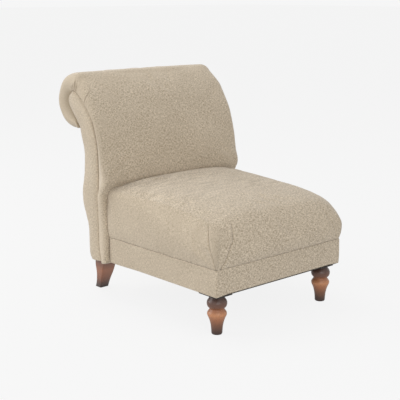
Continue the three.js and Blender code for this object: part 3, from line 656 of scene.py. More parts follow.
class ChairColours(bpy.types.PropertyGroup):
    cloth_light: FloatVectorProperty(
        name="Cloth, light", description="Colour of the chenille's raised pile",
        subtype="COLOR", size=4, min=0, max=1, default=linear(219, 204, 182))
    cloth_dark: FloatVectorProperty(
        name="Cloth, dark", description="Colour between the tufts of pile",
        subtype="COLOR", size=4, min=0, max=1, default=linear(168, 153, 131))
    # the seam colour is painted shade: the cloth is darkened towards it in seams and creases
    seam_shade: FloatVectorProperty(
        name="Seam", description="Colour at the bottom of a seam",
        subtype="COLOR", size=4, min=0, max=1, default=linear(122, 106, 88))


class ChairLight(bpy.types.PropertyGroup):
    key_power: FloatProperty(
        name="Key light", description="Power of the large lamp on the left",
        default=66.0, min=0, max=400, unit="POWER")
    overhead_power: FloatProperty(
        name="Overhead light", description="Power of the large lamp above",
        default=62.0, min=0, max=400, unit="POWER")
    front_power: FloatProperty(
        name="Front light", description="Power of the large lamp beside the camera",
        default=42.0, min=0, max=400, unit="POWER")
    fill_level: FloatProperty(
        name="Surrounding light", description="Strength of the light from all sides",
        default=0.62, min=0, max=2)


# Shapes of the seat

def front_face_y(z):
    """Depth of the inside back's face at heights z, read off its line where the seat meets it."""
    line = through(FRONT_LINE, np.linspace(0, 10, 400))
    return np.interp(z, line[:, 1], line[:, 0])


def seat_top(x, y, crown):
    """Height of the seat: an edge that rises to the rear, a drop towards the front that fades as
    exp(-y / length), a bow of half a sine along the depth, a crown of 1 - |x|^power across, and at the
    rear a low swell that rounds down where the seat is pressed against the back."""
    ahead = np.maximum(y, 0)
    share = np.minimum(ahead / SEAT_DEPTH, 1)
    edge = EDGE_HEIGHT + EDGE_RISE * ahead / SEAT_DEPTH + EDGE_BOW * np.sin(np.pi * share)
    across = 1 - np.minimum(np.abs(x) / HALF_WIDTH, 1) ** CROWN_POWER
    pressed = REAR_SWELL * smooth(380, 510, ahead) - REAR_DIP * np.clip((ahead - 505) / 45, 0, 1.2) ** 2
    return BAND_TOP + edge - FRONT_DROP * np.exp(-ahead / DROP_LENGTH) + (crown + pressed) * across


def bulge_at(y):
    """How far the wall stands out at depth y: WALL_BULGE (1 - 0.3 share^6), share of the seat's depth."""
    return WALL_BULGE * (1 - 0.3 * np.clip(y / SEAT_DEPTH, 0, 1) ** 6)


def side_roll_at(y):
    """Width of the rolled side edge at depth y, in even steps from the front to the rear."""
    return mix(FRONT_SIDE_ROLL, REAR_SIDE_ROLL, np.clip(y / SEAT_DEPTH, 0, 1))


def pinch(from_rear):
    """How far the seat's sides turn in where they meet the back: the edge of a circle."""
    turn = np.clip(1 - from_rear / PINCH_RADIUS, 0, 0.97)
    return PINCH_RADIUS * (1 - np.sqrt(1 - turn**2))


SIDE_COLUMNS, CORNER_COLUMNS, FRONT_COLUMNS = 160, 22, 160
PINCH_COLUMNS, PINCH_SHARE = 14, 0.03       # the side's columns that crowd at the back, and their share


def seat_ring(side_in, front_in, corner, rear):
    """A ring in plan, from the rear of the right side round the front to the rear of the left side, with
    its outward directions. Columns crowd towards the corners. rear is the depth where the side ends."""
    t = np.linspace(0, 1, SIDE_COLUMNS - PINCH_COLUMNS, endpoint=False)
    t = np.concatenate([
        np.linspace(0, PINCH_SHARE, PINCH_COLUMNS, endpoint=False),
        PINCH_SHARE + (1 - PINCH_SHARE) * (1 - (1 - t) ** 1.6)])
    y = rear - (rear - front_in - corner) * t
    side = np.stack([HALF_WIDTH - side_in(y) - pinch(rear - y), y], -1)
    corner_side = HALF_WIDTH - side_in(np.array([front_in + corner]))[0]
    a = np.linspace(0, np.pi / 2, CORNER_COLUMNS + 1)
    arc = np.stack([corner_side - corner * (1 - np.cos(a)), front_in + corner * (1 - np.sin(a))], -1)
    straight = corner_side - corner
    s = np.linspace(0, 1, FRONT_COLUMNS // 2 + 1)[1:]
    front = np.stack([straight * (1 - s ** 1.4), np.full_like(s, front_in)], -1)
    half = np.concatenate([side, arc, front])
    outward = np.concatenate([
        np.tile([1.0, 0.0], (len(side), 1)), np.stack([np.cos(a), -np.sin(a)], -1),
        np.tile([0.0, -1.0], (len(front), 1)),
    ])
    flip = np.array([-1.0, 1.0])
    return tuple(np.concatenate([part * flip, part[:-1][::-1]]) for part in (half, outward))


def seat_rows(crown):
    """The seat's outer skin as rows of rings: up the wall, over the rolled edge by a quarter of an
    ellipse, and across the top to a line along its middle. Also the uv map that unrolls it."""
    rows, outwards = [], []
    for share in np.linspace(0, 1, 20):
        swell = np.sin(np.pi / 2 * share) - 0.2 * (1 - share) ** 6
        z = mix(BAND_TOP + 0.3, WALL_TOP, share)
        corner = mix(CORNER_RADII[0], CORNER_RADII[1], share)
        ring, out = seat_ring(
            lambda y, s=swell: -bulge_at(y) * s, -WALL_BULGE * swell, corner,
            front_face_y(z) + BACK_OVERLAP)
        rows.append(np.column_stack([ring, np.full(len(ring), z)]))
        outwards.append(out)
    for angle in np.linspace(0, np.pi / 2, 38)[1:]:
        inwards = 1 - np.cos(angle)
        corner = mix(CORNER_RADII[1], CORNER_RADII[2], inwards)
        edge_top = WALL_TOP + (seat_top(290.0, SEAT_REAR, crown) - WALL_TOP) * np.sin(angle)
        ring, out = seat_ring(
            lambda y: side_roll_at(y) * inwards - bulge_at(y) * np.cos(angle),
            FRONT_ROLL * inwards - WALL_BULGE * np.cos(angle), corner,
            front_face_y(edge_top) + BACK_OVERLAP)
        z = WALL_TOP + (seat_top(ring[:, 0], ring[:, 1], crown) - WALL_TOP) * np.sin(angle)
        rows.append(np.column_stack([ring, z]))
        outwards.append(out)
    roll_end = len(rows) - 1
    rear_end = front_face_y(seat_top(0.0, SEAT_REAR, crown)) + BACK_OVERLAP
    for share in np.linspace(0, 1, 64)[1:]:
        ring, out = seat_ring(
            lambda y: mix(side_roll_at(y), HALF_WIDTH, share),
            mix(FRONT_ROLL, SEAT_DEPTH / 2, share), CORNER_RADII[2] * (1 - share) ** 0.6 + 1e-4,
            mix(rows[roll_end][0, 1], rear_end, share))
        rows.append(np.column_stack([ring, seat_top(ring[:, 0], ring[:, 1], crown)]))
        outwards.append(out)
    rows = np.array(rows)
    arc = run_length(rows, 0)
    down = arc[roll_end] - arc
    down[roll_end:] = 0
    plan = rows[..., :2].copy()
    plan[:roll_end] = rows[roll_end, :, :2]
    uv = plan + np.array(outwards) * down[..., None]
    return rows, uv * MM


# Leaf-shaped corner pieces let into the front corners: their two seams, as (depth or width, height)
LEAF_SIDE = [(66, 378), (49, 353), (38, 331), (27, 308), (16, 286), (8, 262), (5, 230.3)]
LEAF_FRONT = [
    (-206, 378), (-214, 360), (-221, 340), (-230, 318), (-247, 296), (-261, 272), (-272, 248), (-281, 230.3),
]


def seam_on(rows, line, axis, sign):
    """A seam's points on the skin: for each place on the side or the front, the vertex of the outer rows
    that lies nearest when seen square on."""
    skin = rows[:60].reshape(-1, 3)
    if axis == "side":
        near = skin[skin[:, 0] * sign > 250]
        seen = near[:, 1:]
    else:
        near = skin[(skin[:, 1] < 60) & (skin[:, 0] * sign > 150)]
        seen = near[:, ::2] * np.array([-sign, 1.0])
    points = sampled(line, 60)
    nearest = np.array([np.argmin(np.sum((seen - p) ** 2, axis=1)) for p in points])
    return smoothed(near[nearest], 3, axes=(0,))


def seat_seams(rows):
    """The leaf pieces' seams as (points, strength): stronger on the right, which faces the camera."""
    seams = []
    for sign in (-1, 1):
        seams.append((seam_on(rows, LEAF_SIDE, "side", sign), 0.8 - 0.2 * sign))
        seams.append((seam_on(rows, LEAF_FRONT, "front", sign), 1.0 - 0.2 * sign))
    return seams


class CHAIR_OT_seat_cushion(bpy.types.Operator):
    """Padded seat: bulging walls, rolled edges, a crowned top and leaf-shaped pieces at its front corners"""
    bl_idname = "chair.seat_cushion"
    bl_label = "Seat cushion"

    def execute(self, context):
        sizes = context.scene.chair_sizes
        rows, uv = seat_rows(sizes.seat_crown / MM)
        normals = grid_normals(rows)
        outward = normals * np.sign(normals[90, 230, 2])     # a place on the top, which faces up
        held = np.zeros(rows.shape[:2], bool)
        held[0] = held[:, :4] = held[:, -4:] = True
        rows = blown(rows, outward, held)
        # near: distance that sets the painted seam shade along the leaf seams
        near = np.full(rows.shape[:2], 1e3)
        for seam, strength in seat_seams(rows):
            away, along = path_distance(rows, seam)
            fade = (0.25 + 0.75 * smooth(0, 45, along)) * strength
            near = np.minimum(near, away * 0.9 + 0.7 + np.maximum(1 - fade, -0.3) * 1.6)
            groove = np.exp(-(away / 2.6) ** 2) * fade
            swell = np.exp(-((away - 9) / 7) ** 2) * fade
            pucker = noise(np.stack([along, away * 0.2, away * 0], -1), 7.0, 3)
            rows = rows + outward * (
                -groove * sizes.seam_depth / MM + swell * (0.5 + 0.35 * pucker))[..., None]
        low = rows[..., 2] - BAND_TOP
        # painted shade along the seam with the band, where the cushion's wall meets it
        near = np.minimum(near, np.where(low < 40, low + 1.5, 1e3))
        soft = noise(rows, 55.0, 11) * 0.8 + noise(rows, 24.0, 12) * 0.35
        tuck = np.exp(-low / 9.0) * noise(rows * [1, 1, 0.3], 13.0, 14) * 0.7
        rows[..., 2] += seam_wave(rows) * np.exp(-low / 10)
        fade = smooth(0, 30, low)
        rows = rows + outward * (soft * fade * sizes.wrinkle_height / MM + tuck * 0.8)[..., None]
        nap = 0.5 + 0.7 * smooth(0.25, 0.75, np.maximum(outward[..., 2], -outward[..., 1]))
        flat = smooth(0.8, 0.98, outward[..., 2])
        brush = flat * smooth(60, 250, rows[..., 1]) * (0.6 + 0.4 * noise(rows, 120.0, 15))
        # painted light: the side walls are made lighter close to the back, where it shades them
        lift = 0.3 * np.exp(-(SEAT_DEPTH - rows[..., 1]) / 13) * smooth(0.5, 0.9, np.abs(outward[..., 0]))
        top = {
            "points": placed(rows), "uv": uv, "seam": near * MM, "nap": nap, "brush": brush, "lift": lift}
        under = self.underside(rows[0])
        bottom = {"points": placed(under), "uv": under[..., :2] * MM}
        piece = make_piece(
            "seat_cushion", [top, bottom], ("seat_cover", "seat_foam"), cloth_material())
        return {"FINISHED"}

    def underside(self, base):
        """Rings from the lowest row in to a line along the middle, by (share of the way, share raised)."""
        outline = base[:, :2]
        middle = np.column_stack([np.zeros(len(base)), np.clip(outline[:, 1], SEAT_DEPTH / 2, None)])
        steps = ((0.0, 0.0), (0.012, 0.0), (0.03, 1.0), (0.5, 1.0), (1.0, 1.0))
        return np.array([
            np.column_stack([mix(outline, middle, share), mix(base[:, 2], CUSHION_FLOOR, raised)])
            for share, raised in steps])


def seam_wave(points):
    """How far the seam between the cushion and the band wanders up and down, by its place in plan."""
    return noise(points * [1, 1, 0], 38.0, 24) * 0.8


def sweep_band(profile, corner, columns=560):
    """A profile of (outwards, height) carried round the front and both sides of the seat: straight runs
    joined by quarter circles. Returns rows for the profile and columns along the path."""
    arc = np.pi / 2 * corner
    side = SEAT_DEPTH - corner
    front = 2 * (HALF_WIDTH - corner)
    total = 2 * side + 2 * arc + front
    crowd = np.sort(np.concatenate([
        np.linspace(0, total, columns), np.linspace(side - 6, side + arc + 6, 26),
        np.linspace(side + arc + front - 6, side + 2 * arc + front + 6, 26),
    ]))
    s = np.unique(np.round(crowd, 3))
    parts = [s < end for end in (side, side + arc, side + arc + front, side + 2 * arc + front)]
    first, second = (s - side) / corner, (s - side - arc - front) / corner
    x = np.select(parts, [
        -HALF_WIDTH + 0 * s, -HALF_WIDTH + corner * (1 - np.cos(first)),
        -HALF_WIDTH + corner + (s - side - arc), HALF_WIDTH - corner + corner * np.sin(second)], HALF_WIDTH)
    y = np.select(parts, [
        SEAT_DEPTH - s, corner - corner * np.sin(first), 0 * s, corner - corner * np.cos(second)],
        corner + (s - side - 2 * arc - front))
    path = np.stack([x, y], -1)
    along = np.gradient(path, axis=0)
    along /= np.linalg.norm(along, axis=1, keepdims=True)
    out = np.stack([along[:, 1], -along[:, 0]], -1)
    profile = np.asarray(profile, float)
    plan = path[None] + out[None] * profile[:, :1, None]
    height = np.broadcast_to(profile[:, 1:2], plan.shape[:2])
    return np.concatenate([plan, height[..., None]], -1), s, out


class CHAIR_OT_seat_band(bpy.types.Operator):
    """Band of cloth round the front and sides under the cushion, folded under at its lower edge"""
    bl_idname = "chair.seat_band"
    bl_label = "Seat band"

    def execute(self, context):
        sizes = context.scene.chair_sizes
        a = np.linspace(0, np.pi / 2, 7)
        fold = np.stack([
            -BAND_FOLD + BAND_FOLD * np.sin(a), BAND_BOTTOM + BAND_FOLD - BAND_FOLD * np.cos(a)], -1)
        upright = np.linspace(BAND_BOTTOM + BAND_FOLD, BAND_TOP - BAND_FOLD, 26)[1:-1]
        face = np.stack([0 * upright, upright], -1)
        tuck = np.stack([
            -BAND_TUCK + BAND_TUCK * np.cos(a), BAND_TOP - BAND_FOLD + BAND_FOLD * np.sin(a)], -1)
        outer = np.concatenate([[[-BAND_DEEP, BAND_BOTTOM]], fold, face, tuck, [[-BAND_DEEP, BAND_TOP]]])
        rows, s, out = sweep_band(outer, CORNER_RADII[0])
        height = rows[..., 2]
        share = (height - BAND_BOTTOM) / (BAND_TOP - BAND_BOTTOM)
        bowed = np.sin(np.pi * np.clip(share, 0, 1))
        below = BAND_TOP - height
        soft = noise(rows * [1, 1, 0.6], 34.0, 21) * 0.5 + noise(rows * [1, 1, 0.35], 12.0, 22) * 0.25
        pucker = np.exp(-below / 10.0) * noise(rows * [1, 1, 0.2], 11.0, 23) * 0.6
        shown = smooth(-3.5, -1.0, np.broadcast_to(outer[:, :1], share.shape))
        swell = (bowed * 0.8 + (soft * sizes.wrinkle_height / MM + pucker) * bowed**0.4) * shown
        swell -= pinch(SEAT_DEPTH - rows[..., 1])
        raised = 4 * smooth(300, 240, np.abs(rows[..., 0])) * (rows[..., 1] < 20)
        drawn = raised - 3.5 * smooth(380, 540, rows[..., 1])
        rows[..., 2] += drawn * np.exp(-(height - BAND_BOTTOM) / 25)
        rows[..., :2] += out[None] * swell[..., None]
        length = run_length(rows, 0)
        uv = np.stack([np.broadcast_to(s, share.shape), length], -1) * MM
        nap = 0.55 + 0.8 * smooth(0.3, 0.8, np.broadcast_to(-out[None, :, 1], share.shape))
        # painted shade along the band's upper edge, where it meets the cushion, set by the seam distance
        seam = np.where(below < 20, below * 0.9 + 1.7, 1e3) * MM
        rows[..., 2] += seam_wave(rows) * np.exp(-below / 10)
        inside, _, _ = sweep_band([[-BAND_DEEP, BAND_TOP], [-BAND_DEEP, BAND_BOTTOM]], CORNER_RADII[0])
        piece = make_piece(
            "seat_band",
            [{"points": placed(rows), "uv": uv, "seam": seam, "nap": nap}, {"points": placed(inside)}],
            ("seat_border",), cloth_material())
        return {"FINISHED"}


# Shapes of the back

def back_lines(at):
    """The inside back's face line and its seam line at stations from 0 to 25: cubic curves through the
    measured places, with the scroll's outer part on a circle."""
    a = np.radians(SCROLL_ANGLES)
    scroll = np.stack([
        SCROLL_CENTRE[0] + SCROLL_RADIUS * np.cos(a), SCROLL_CENTRE[1] + SCROLL_RADIUS * np.sin(a)], -1)
    return through(np.concatenate([FRONT_LINE, scroll]), at), through(SEAM_LINE, at)


# Pleats at the scroll's ends as (station, place on the edge): 0 to 0.5 round the edge, then to 1 at the seam
PLEATS = (
    ((17.68, 0.64), (17.0, 0.83), (16.3, 0.97)),
    ((16.54, 0.42), (16.8, 0.6), (16.7, 0.8), (16.2, 0.97)),
    ((16.41, 0.29), (16.25, 0.42), (16.1, 0.6), (15.8, 0.88)),
    ((15.9, 0.3), (15.74, 0.46), (15.45, 0.62), (15.2, 0.88)),
    ((14.48, 0.0), (14.35, 0.1), (14.05, 0.3), (13.7, 0.48)),
)
PLEAT_WEIGHTS = (0.8, 0.75, 1.1, 1.0, 0.6)

# By station: fall of the face at its edges, bulge past half the width, share of the edge's radius
PAD_CROWN = ([0, 3, 7, 14, 18, 25], [0, 0, 2, 2, 3, 3])
PAD_BULGE = (
    [0, 2.6, 4.5, 7, 9, 10, 13, 14.5, 16.5, 19, 25], [5, 5, 13.5, 13.5, 10, 9.5, 12, 14.5, 12, 10, 9])
PAD_CORNER = ([0, 2.6, 4.2, 12, 14.5, 16, 18, 20, 25], [1.5, 1.5, 1, 1, 1.9, 2.7, 2.3, 1.7, 1.65])
LOW_EDGE_HANG = 7.0     # how far its lower edge hangs down towards the sides
REAR_STEP = 3.9         # from the seam's plane to the padding's rear face


def pad_grid(sizes):
    """The inside back over stations and across. At each station the section runs from the middle: a face
    that falls by crown times the square of its share, a quarter circle, and a side strip that ends in a
    dip at the facing's seam: half width + bulge (1 - w^1.2) - dip w^12, or w^3 round the facing's head."""
    stations = np.concatenate([
        np.linspace(0, 13.4, 190, endpoint=False), np.linspace(13.4, 18.4, 170, endpoint=False),
        np.linspace(18.4, 25, 80)])
    face, seam = back_lines(stations)
    inwards = seam - face
    depth = np.linalg.norm(inwards, axis=1)
    inwards /= depth[:, None]
    crown = np.minimum(np.interp(stations, *PAD_CROWN), 0.2 * depth)
    bulge = np.interp(stations, *PAD_BULGE)
    radius = np.minimum(np.interp(stations, *PAD_CORNER) * sizes.back_corner / MM, 0.8 * depth)
    side = BACK_HALF + bulge
    q = np.linspace(0, 1, 40)
    corner = np.linspace(0, np.pi / 2, 25)[1:]
    strip = np.linspace(0, 1, 23)[1:] ** 0.85
    around = smooth(17.2, 18.6, stations)
    crown, radius, side, bulge, depth, around = (
        values[:, None] for values in (crown, radius, side, bulge, depth, around))
    dip = mix(SEAM_DIP * strip**12, HEAD_DIP * strip**3, around)
    x = np.concatenate([
        (side - radius) * q, side - radius * (1 - np.sin(corner)),
        BACK_HALF + bulge * (1 - strip**1.2) - dip], axis=1)
    down = np.concatenate([
        crown * q**2, crown + radius * (1 - np.cos(corner)),
        crown + radius + (depth - crown - radius) * strip], axis=1)
    edge = np.concatenate([np.zeros(len(q)), corner / (np.pi / 2) * 0.5, 0.5 + 0.5 * strip])
    x = np.concatenate([-x[:, :0:-1], x], axis=1)
    down = np.concatenate([down[:, :0:-1], down], axis=1)
    edge = np.concatenate([edge[:0:-1], edge])
    points = np.stack([
        x, face[:, :1] + inwards[:, :1] * down, face[:, 1:] + inwards[:, 1:] * down], -1)
    return stations, points, down, depth, edge, seam, inwards


# The pocket round the back rail's tongue: its width, and how far its middle lies from the rail's and its
# size exceeds the rail's in depth and in height
POCKET_WIDTH = 0.496
POCKET_SHIFT = (0.01, 0.02)
POCKET_MARGIN = (0.02, 0.046)


class CHAIR_OT_inside_back(bpy.types.Operator):
    """Padded inside back that wraps over the scroll, with rounded edges and pleats at the scroll's ends"""
    bl_idname = "chair.inside_back"
    bl_label = "Inside back"

    def execute(self, context):
        sizes = context.scene.chair_sizes
        stations, rows, down, depth, edge, seam, inwards = pad_grid(sizes)
        length = run_length(rows[:, [rows.shape[1] // 2]], 0)
        across = run_length(rows, 1)
        across -= across[:, [rows.shape[1] // 2]]
        uv = np.stack([across, np.broadcast_to(length, across.shape)], -1)
        normals = grid_normals(rows)
        outward = normals * np.where(normals[100, rows.shape[1] // 2, 1] > 0, -1.0, 1.0)
        held = np.zeros(rows.shape[:2], bool)
        held[stations < 5] = held[-1] = held[:, :6] = held[:, -6:] = True
        rows = blown(rows, outward, held)
        to_seam = np.maximum(depth - down, 0)
        groove = np.zeros(rows.shape[:2])
        ridge = np.zeros(rows.shape[:2])
        for path, weight in zip(PLEATS, PLEAT_WEIGHTS):
            points = sampled(path, 40)
            for flip in (-1, 1):
                line = self.on_grid(rows, stations, edge, points, flip)
                away, along = path_distance(rows, line)
                fade = smooth(-4, 16, along) * weight
                groove = np.maximum(groove, np.exp(-(away / 2.1) ** 2) * fade)
                ridge = np.maximum(ridge, np.exp(-((away - 4.5) / 3) ** 2) * fade)
        puff = smooth(15, 16.5, stations) * smooth(22.5, 20.5, stations)
        soft = noise(rows, 70.0, 31) + noise(rows, 30.0, 32) * 0.35
        fine = noise(rows, 9.0, 33) * np.exp(-to_seam / 12.0) * smooth(18.5, 17.0, stations)[:, None] * 0.9
        lift = soft * sizes.wrinkle_height / MM + fine
        lift += (ridge * 0.4 - groove) * sizes.pleat_depth / MM
        lift += (puff[:, None] * smooth(0.3, 0.8, edge)[None]) * 1.2
        hang = LOW_EDGE_HANG * np.exp(-stations / 0.3)[:, None] * smooth(1.0, 0.6, edge)
        rows[..., 2] -= hang * smooth(150, 300, np.abs(rows[..., 0]))
        rows = rows + outward * (lift * smooth(-0.1, 0.5, stations)[:, None])[..., None]
        # painted seam shade along the seams with the facings, softer round their heads, and painted shade in
        # the pleats' grooves
        soften = 1 + 1.5 * smooth(16.5, 18.5, stations)[:, None]
        near = np.where(to_seam < 30, to_seam * soften + soften + 0.2, 1e3)
        near = np.minimum(near, np.where(groove > 0.1, 3.0 - 1.8 * np.minimum(groove, 1), 1e3))
        nap = (1 - 0.65 * smooth(0.05, 0.45, edge))[None] * (1 - 0.45 * smooth(14.0, 16.5, stations))[:, None]
        # painted light on the rounded edges and side strips, most on their lower part beside the seat, and
        # painted shade on the strip round the facings' heads
        lift = 0.1 * smooth(0.35, 0.8, edge) + 0.4 * smooth(9, 6, stations)[:, None] * smooth(0.05, 0.4, edge)
        lift -= 0.55 * smooth(17.3, 18.8, stations)[:, None] * smooth(0.5, 1.0, edge)
        front = {"points": placed(rows), "uv": uv * MM, "seam": near * MM, "nap": nap, "lift": lift}
        lip = BOARD_HALF + 0.8
        half = [(BACK_HALF - SEAM_DIP, 0.0), (lip, 0.0)]
        half += [(x, REAR_STEP) for x in (lip - 0.5, 150.0, 0.0)]
        section = np.array([(-x, d) for x, d in half] + [(x, d) for x, d in half[-2::-1]])
        behind = seam[:, None] - inwards[:, None] * section[None, :, 1:]
        width = np.broadcast_to(section[:, :1], behind.shape[:2] + (1,))
        rear = np.concatenate([width, behind], -1)
        rear[:, 0] = rows[:, 0]
        rear[:, -1] = rows[:, -1]
        piece = make_piece(
            "inside_back", [front, {"points": placed(rear)}],
            ("inside_back_cover", "inside_back_foam"), cloth_material())
        self.cut_rail_pocket(piece)
        return {"FINISHED"}

    def on_grid(self, rows, stations, edge, points, flip):
        """Places on the padding for (station, place on the edge), on one of its two sides."""
        middle = len(edge) // 2
        half = edge[middle:]
        first = np.searchsorted(half, 1e-6) - 1
        columns = np.interp(points[:, 1], half[first:], np.arange(first, len(half)))
        row = np.round(np.interp(points[:, 0], stations, np.arange(len(stations))))
        return rows[row.astype(int), np.round(middle + flip * columns).astype(int)]

    def cut_rail_pocket(self, piece):
        """Takes out the room of the back rail's tongue, which passes through the padding behind the seat."""
        low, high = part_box("back_bottom_rail")
        bpy.ops.mesh.primitive_cube_add(size=1)
        block = bpy.context.object
        place = [(a + b) / 2 - shift for a, b, shift in zip(low.yz, high.yz, POCKET_SHIFT)]
        size = [b - a + margin for a, b, margin in zip(low.yz, high.yz, POCKET_MARGIN)]
        block.data.transform(
            Matrix.Translation((0, *place)) @ Matrix.Diagonal((POCKET_WIDTH, *size, 1)))
        cut = piece.modifiers.new("pocket", "BOOLEAN")
        cut.operation = "DIFFERENCE"
        cut.object = block
        cut.solver = "EXACT"
        apply_modifiers(piece)
        bpy.data.objects.remove(block)


FACING_INSET = 0.6      # how far a facing's edge lies inside the seam
FACING_WIDE = 36.0      # half the width from which it reaches its full height
# Pairs of places on a facing's front edge and its rear edge, counted along the lists of places
FACING_TIP = 19.5
FACING_PAIRS = ((0, 3, 5, 9, 12, 15, 17, FACING_TIP), (0, 4.6, 8, 11.8, 14.4, 17.6, 19.4, 21))


def facing_outline():
    """A facing's front edge up to the tip of its head, and its rear edge with the underside of the head."""
    under = through(SEAM_LINE, np.array([25, 24, 23, 22, 21, 20, FACING_TIP]))
    return SEAM_LINE, np.concatenate([REAR_LINE, under])


class CHAIR_OT_facings(bpy.types.Operator):
    """Domed facings let into both sides of the back, from the lower edge to the head inside the scroll"""
    bl_idname = "chair.facings"
    bl_label = "Side facings"

    def execute(self, context):
        sizes = context.scene.chair_sizes
        front_edge, rear_edge = facing_outline()
        at = np.concatenate([np.linspace(0, 14, 190, endpoint=False), np.linspace(14, FACING_TIP, 90)])
        front = through(front_edge, at)
        rear = through(rear_edge, np.interp(at, *FACING_PAIRS))
        rear[-1] = front[-1]
        share = (1 - np.cos(np.linspace(0, np.pi, 30))) / 2
        flat = front[:, None] + (rear - front)[:, None] * share[None, :, None]
        loop = np.concatenate([front, rear[::-1]])
        away, along = path_distance(flat, loop)
        to_front, _ = path_distance(flat, front)
        half = np.clip(np.linalg.norm(front - rear, axis=1)[:, None] / 2, 10, FACING_WIDE)
        t = np.clip(away / half, 0, 1)
        swell = np.sqrt(half / FACING_WIDE) * (t * (2 - t)) ** 0.8
        edge = quarter_round(away, EDGE_RADIUS)
        head = smooth(540, 640, flat[..., 1]) * smooth(0.3, 0.7, share)
        rise = swell * sizes.facing_dome / MM + (edge - 1) * (3.0 - 2.1 * head)
        dome = swell * edge
        inwards = flat.mean(axis=1, keepdims=True) - flat
        inwards /= np.maximum(np.linalg.norm(inwards, axis=-1, keepdims=True), 1e-6)
        reach = np.minimum(FACING_INSET, away.max(axis=1)[:, None, None])
        flat = flat + inwards * reach * np.exp(-away / 3)[..., None]
        soft = noise(np.concatenate([flat, flat[..., :1] * 0], -1), 60.0, 41) * 0.8
        pucker = noise(np.stack([along, away * 0, away * 0], -1), 12.0, 42) * np.exp(-away / 7) * 0.5
        pucker *= smooth(0, 3, away)
        rise = rise + (soft * sizes.wrinkle_height / MM) * dome + pucker
        # painted seam shade along the facing's front edge, lighter round its head
        near = np.where(to_front < 25, to_front * 0.35 + 1.15 + head * 2.0, 1e3)
        for side, sign in SIDES:
            top = np.concatenate([(BACK_HALF - 1.5 + rise)[..., None], flat], -1)
            base = top.copy()
            base[..., 0] = BOARD_HALF + 0.6
            top, base = (grid * np.array([sign, 1.0, 1.0]) for grid in (top, base))
            foot, _, front_rim, rear_rim = rims(top, base)
            # painted light: the facing is lighter except round its head; the rims, which sit in the seams,
            # take the full painted seam shade
            grids = [{
                "points": placed(top), "uv": flat * MM, "seam": near * MM, "nap": 0.5,
                "lift": 0.1 * (1 - head)}]
            grids += [{"points": placed(g), "seam": 0.0} for g in (front_rim, rear_rim, foot, base)]
            piece = make_piece(
                f"facing_{side}", grids, (f"side_facing_{side}",), cloth_material())
        return {"FINISHED"}


class CHAIR_OT_outside_back(bpy.types.Operator):
    """Outside back cover stretched down from the scroll over the rear board"""
    bl_idname = "chair.outside_back"
    bl_label = "Outside back"

    def execute(self, context):
        sizes = context.scene.chair_sizes
        line = sampled(REAR_LINE, 150)
        x = np.linspace(-BOARD_HALF, BOARD_HALF, 150)
        rows = np.empty((len(line), len(x), 3))
        rows[..., 0] = x
        rows[..., 1:] = line[:, None]
        sag = 0.8 * (1 - (np.abs(x) / BOARD_HALF) ** 4)
        soft = (noise(rows, 60.0, 51) * 0.9 + noise(rows, 20.0, 52) * 0.3) * sizes.wrinkle_height / MM * 0.7
        away = BOARD_HALF - np.abs(x)
        edge = 2.2 * (1 - quarter_round(away, EDGE_RADIUS))
        ends = np.sin(np.pi * np.linspace(0, 1, len(line)))[:, None] ** 0.35
        outer = rows.copy()
        outer[..., 1] += (sag + soft) * ends - edge
        inner = rows - np.array([0, 3.0, 0])
        up = run_length(rows[:, :1], 0)
        uv = np.stack([rows[..., 0], np.broadcast_to(up, rows.shape[:2])], -1) * MM
        # painted seam shade along the outside back's side edges and over its rims
        seam = np.where(away < 20, away, 1e3)
        grids = [{"points": placed(outer), "uv": uv, "seam": seam * MM, "nap": 0.9}]
        grids += [{"points": placed(rim), "seam": 0.0} for rim in rims(outer, inner)]
        grids.append({"points": placed(inner)})
        piece = make_piece("outside_back", grids, ("outside_back_cover",), cloth_material())
        return {"FINISHED"}


# Legs

LEG_PLACE = (254.0, 46.0)      # of the left front leg's axis
LEG_PROFILE = [
    (16.5, 0), (17.9, 3), (18.4, 9), (19.3, 22), (21, 34), (23.4, 44), (25.9, 52), (28.2, 57.5), (29.4, 60),
    (30.4, 62.2), (31.6, 65), (32.4, 69.5), (31.8, 73.5), (30, 77), (27.6, 80.6), (25.4, 83.6), (24.4, 86),
    (25.6, 88.6), (28.4, 91.8), (31.4, 96), (33.2, 102), (33.4, 108), (31.8, 113.4), (29, 118), (26, 122.4),
    (23.8, 126.4), (23.5, 130.4),
]
REAR_LEG = [
    # height, front, rear, outer, inner
    (139.7, 592.3, 648.2, 302, 240), (111.1, 615.4, 664.4, 292, 233), (78, 639.3, 676.3, 280, 225),
    (49, 659.2, 689.2, 270, 222), (21, 677.3, 706.3, 260, 219), (0, 690.3, 723.3, 252, 215),
]


class CHAIR_OT_front_legs(bpy.types.Operator):
    """Turned front legs: a ball, a neck and a ring over a taper, with a hole for the bolt"""
    bl_idname = "chair.front_legs"
    bl_label = "Front legs"

    def execute(self, context):
        profile = sampled(LEG_PROFILE, 150)
        foot = np.array([(0.2, 0.0), (8.0, 0.0), (15.2, 0.0), (16.1, 0.35)])
        bore = np.array([
            (23.0, 130.6), (14.0, 130.6), (4.9, 130.6), (4.5, 130.0), (4.5, 105.3), (0.2, 105.3)])
        profile = np.concatenate([foot, profile, bore])
        a = np.linspace(0, 2 * np.pi, 72, endpoint=False)
        ring = np.stack([np.cos(a), np.sin(a)], -1)
        plan = profile[:, :1, None] * ring[None]
        height = np.broadcast_to(profile[:, 1:2], plan.shape[:2])[..., None]
        for side, sign in SIDES:
            solid = np.concatenate([plan + np.array([sign * LEG_PLACE[0], LEG_PLACE[1]]), height], -1)
            make_piece(
                f"turned_leg_{side}", [{"points": placed(solid), "wrap": True}], (f"front_leg_{side}",),
                leg_material("front"), merge=2e-6)
        return {"FINISHED"}


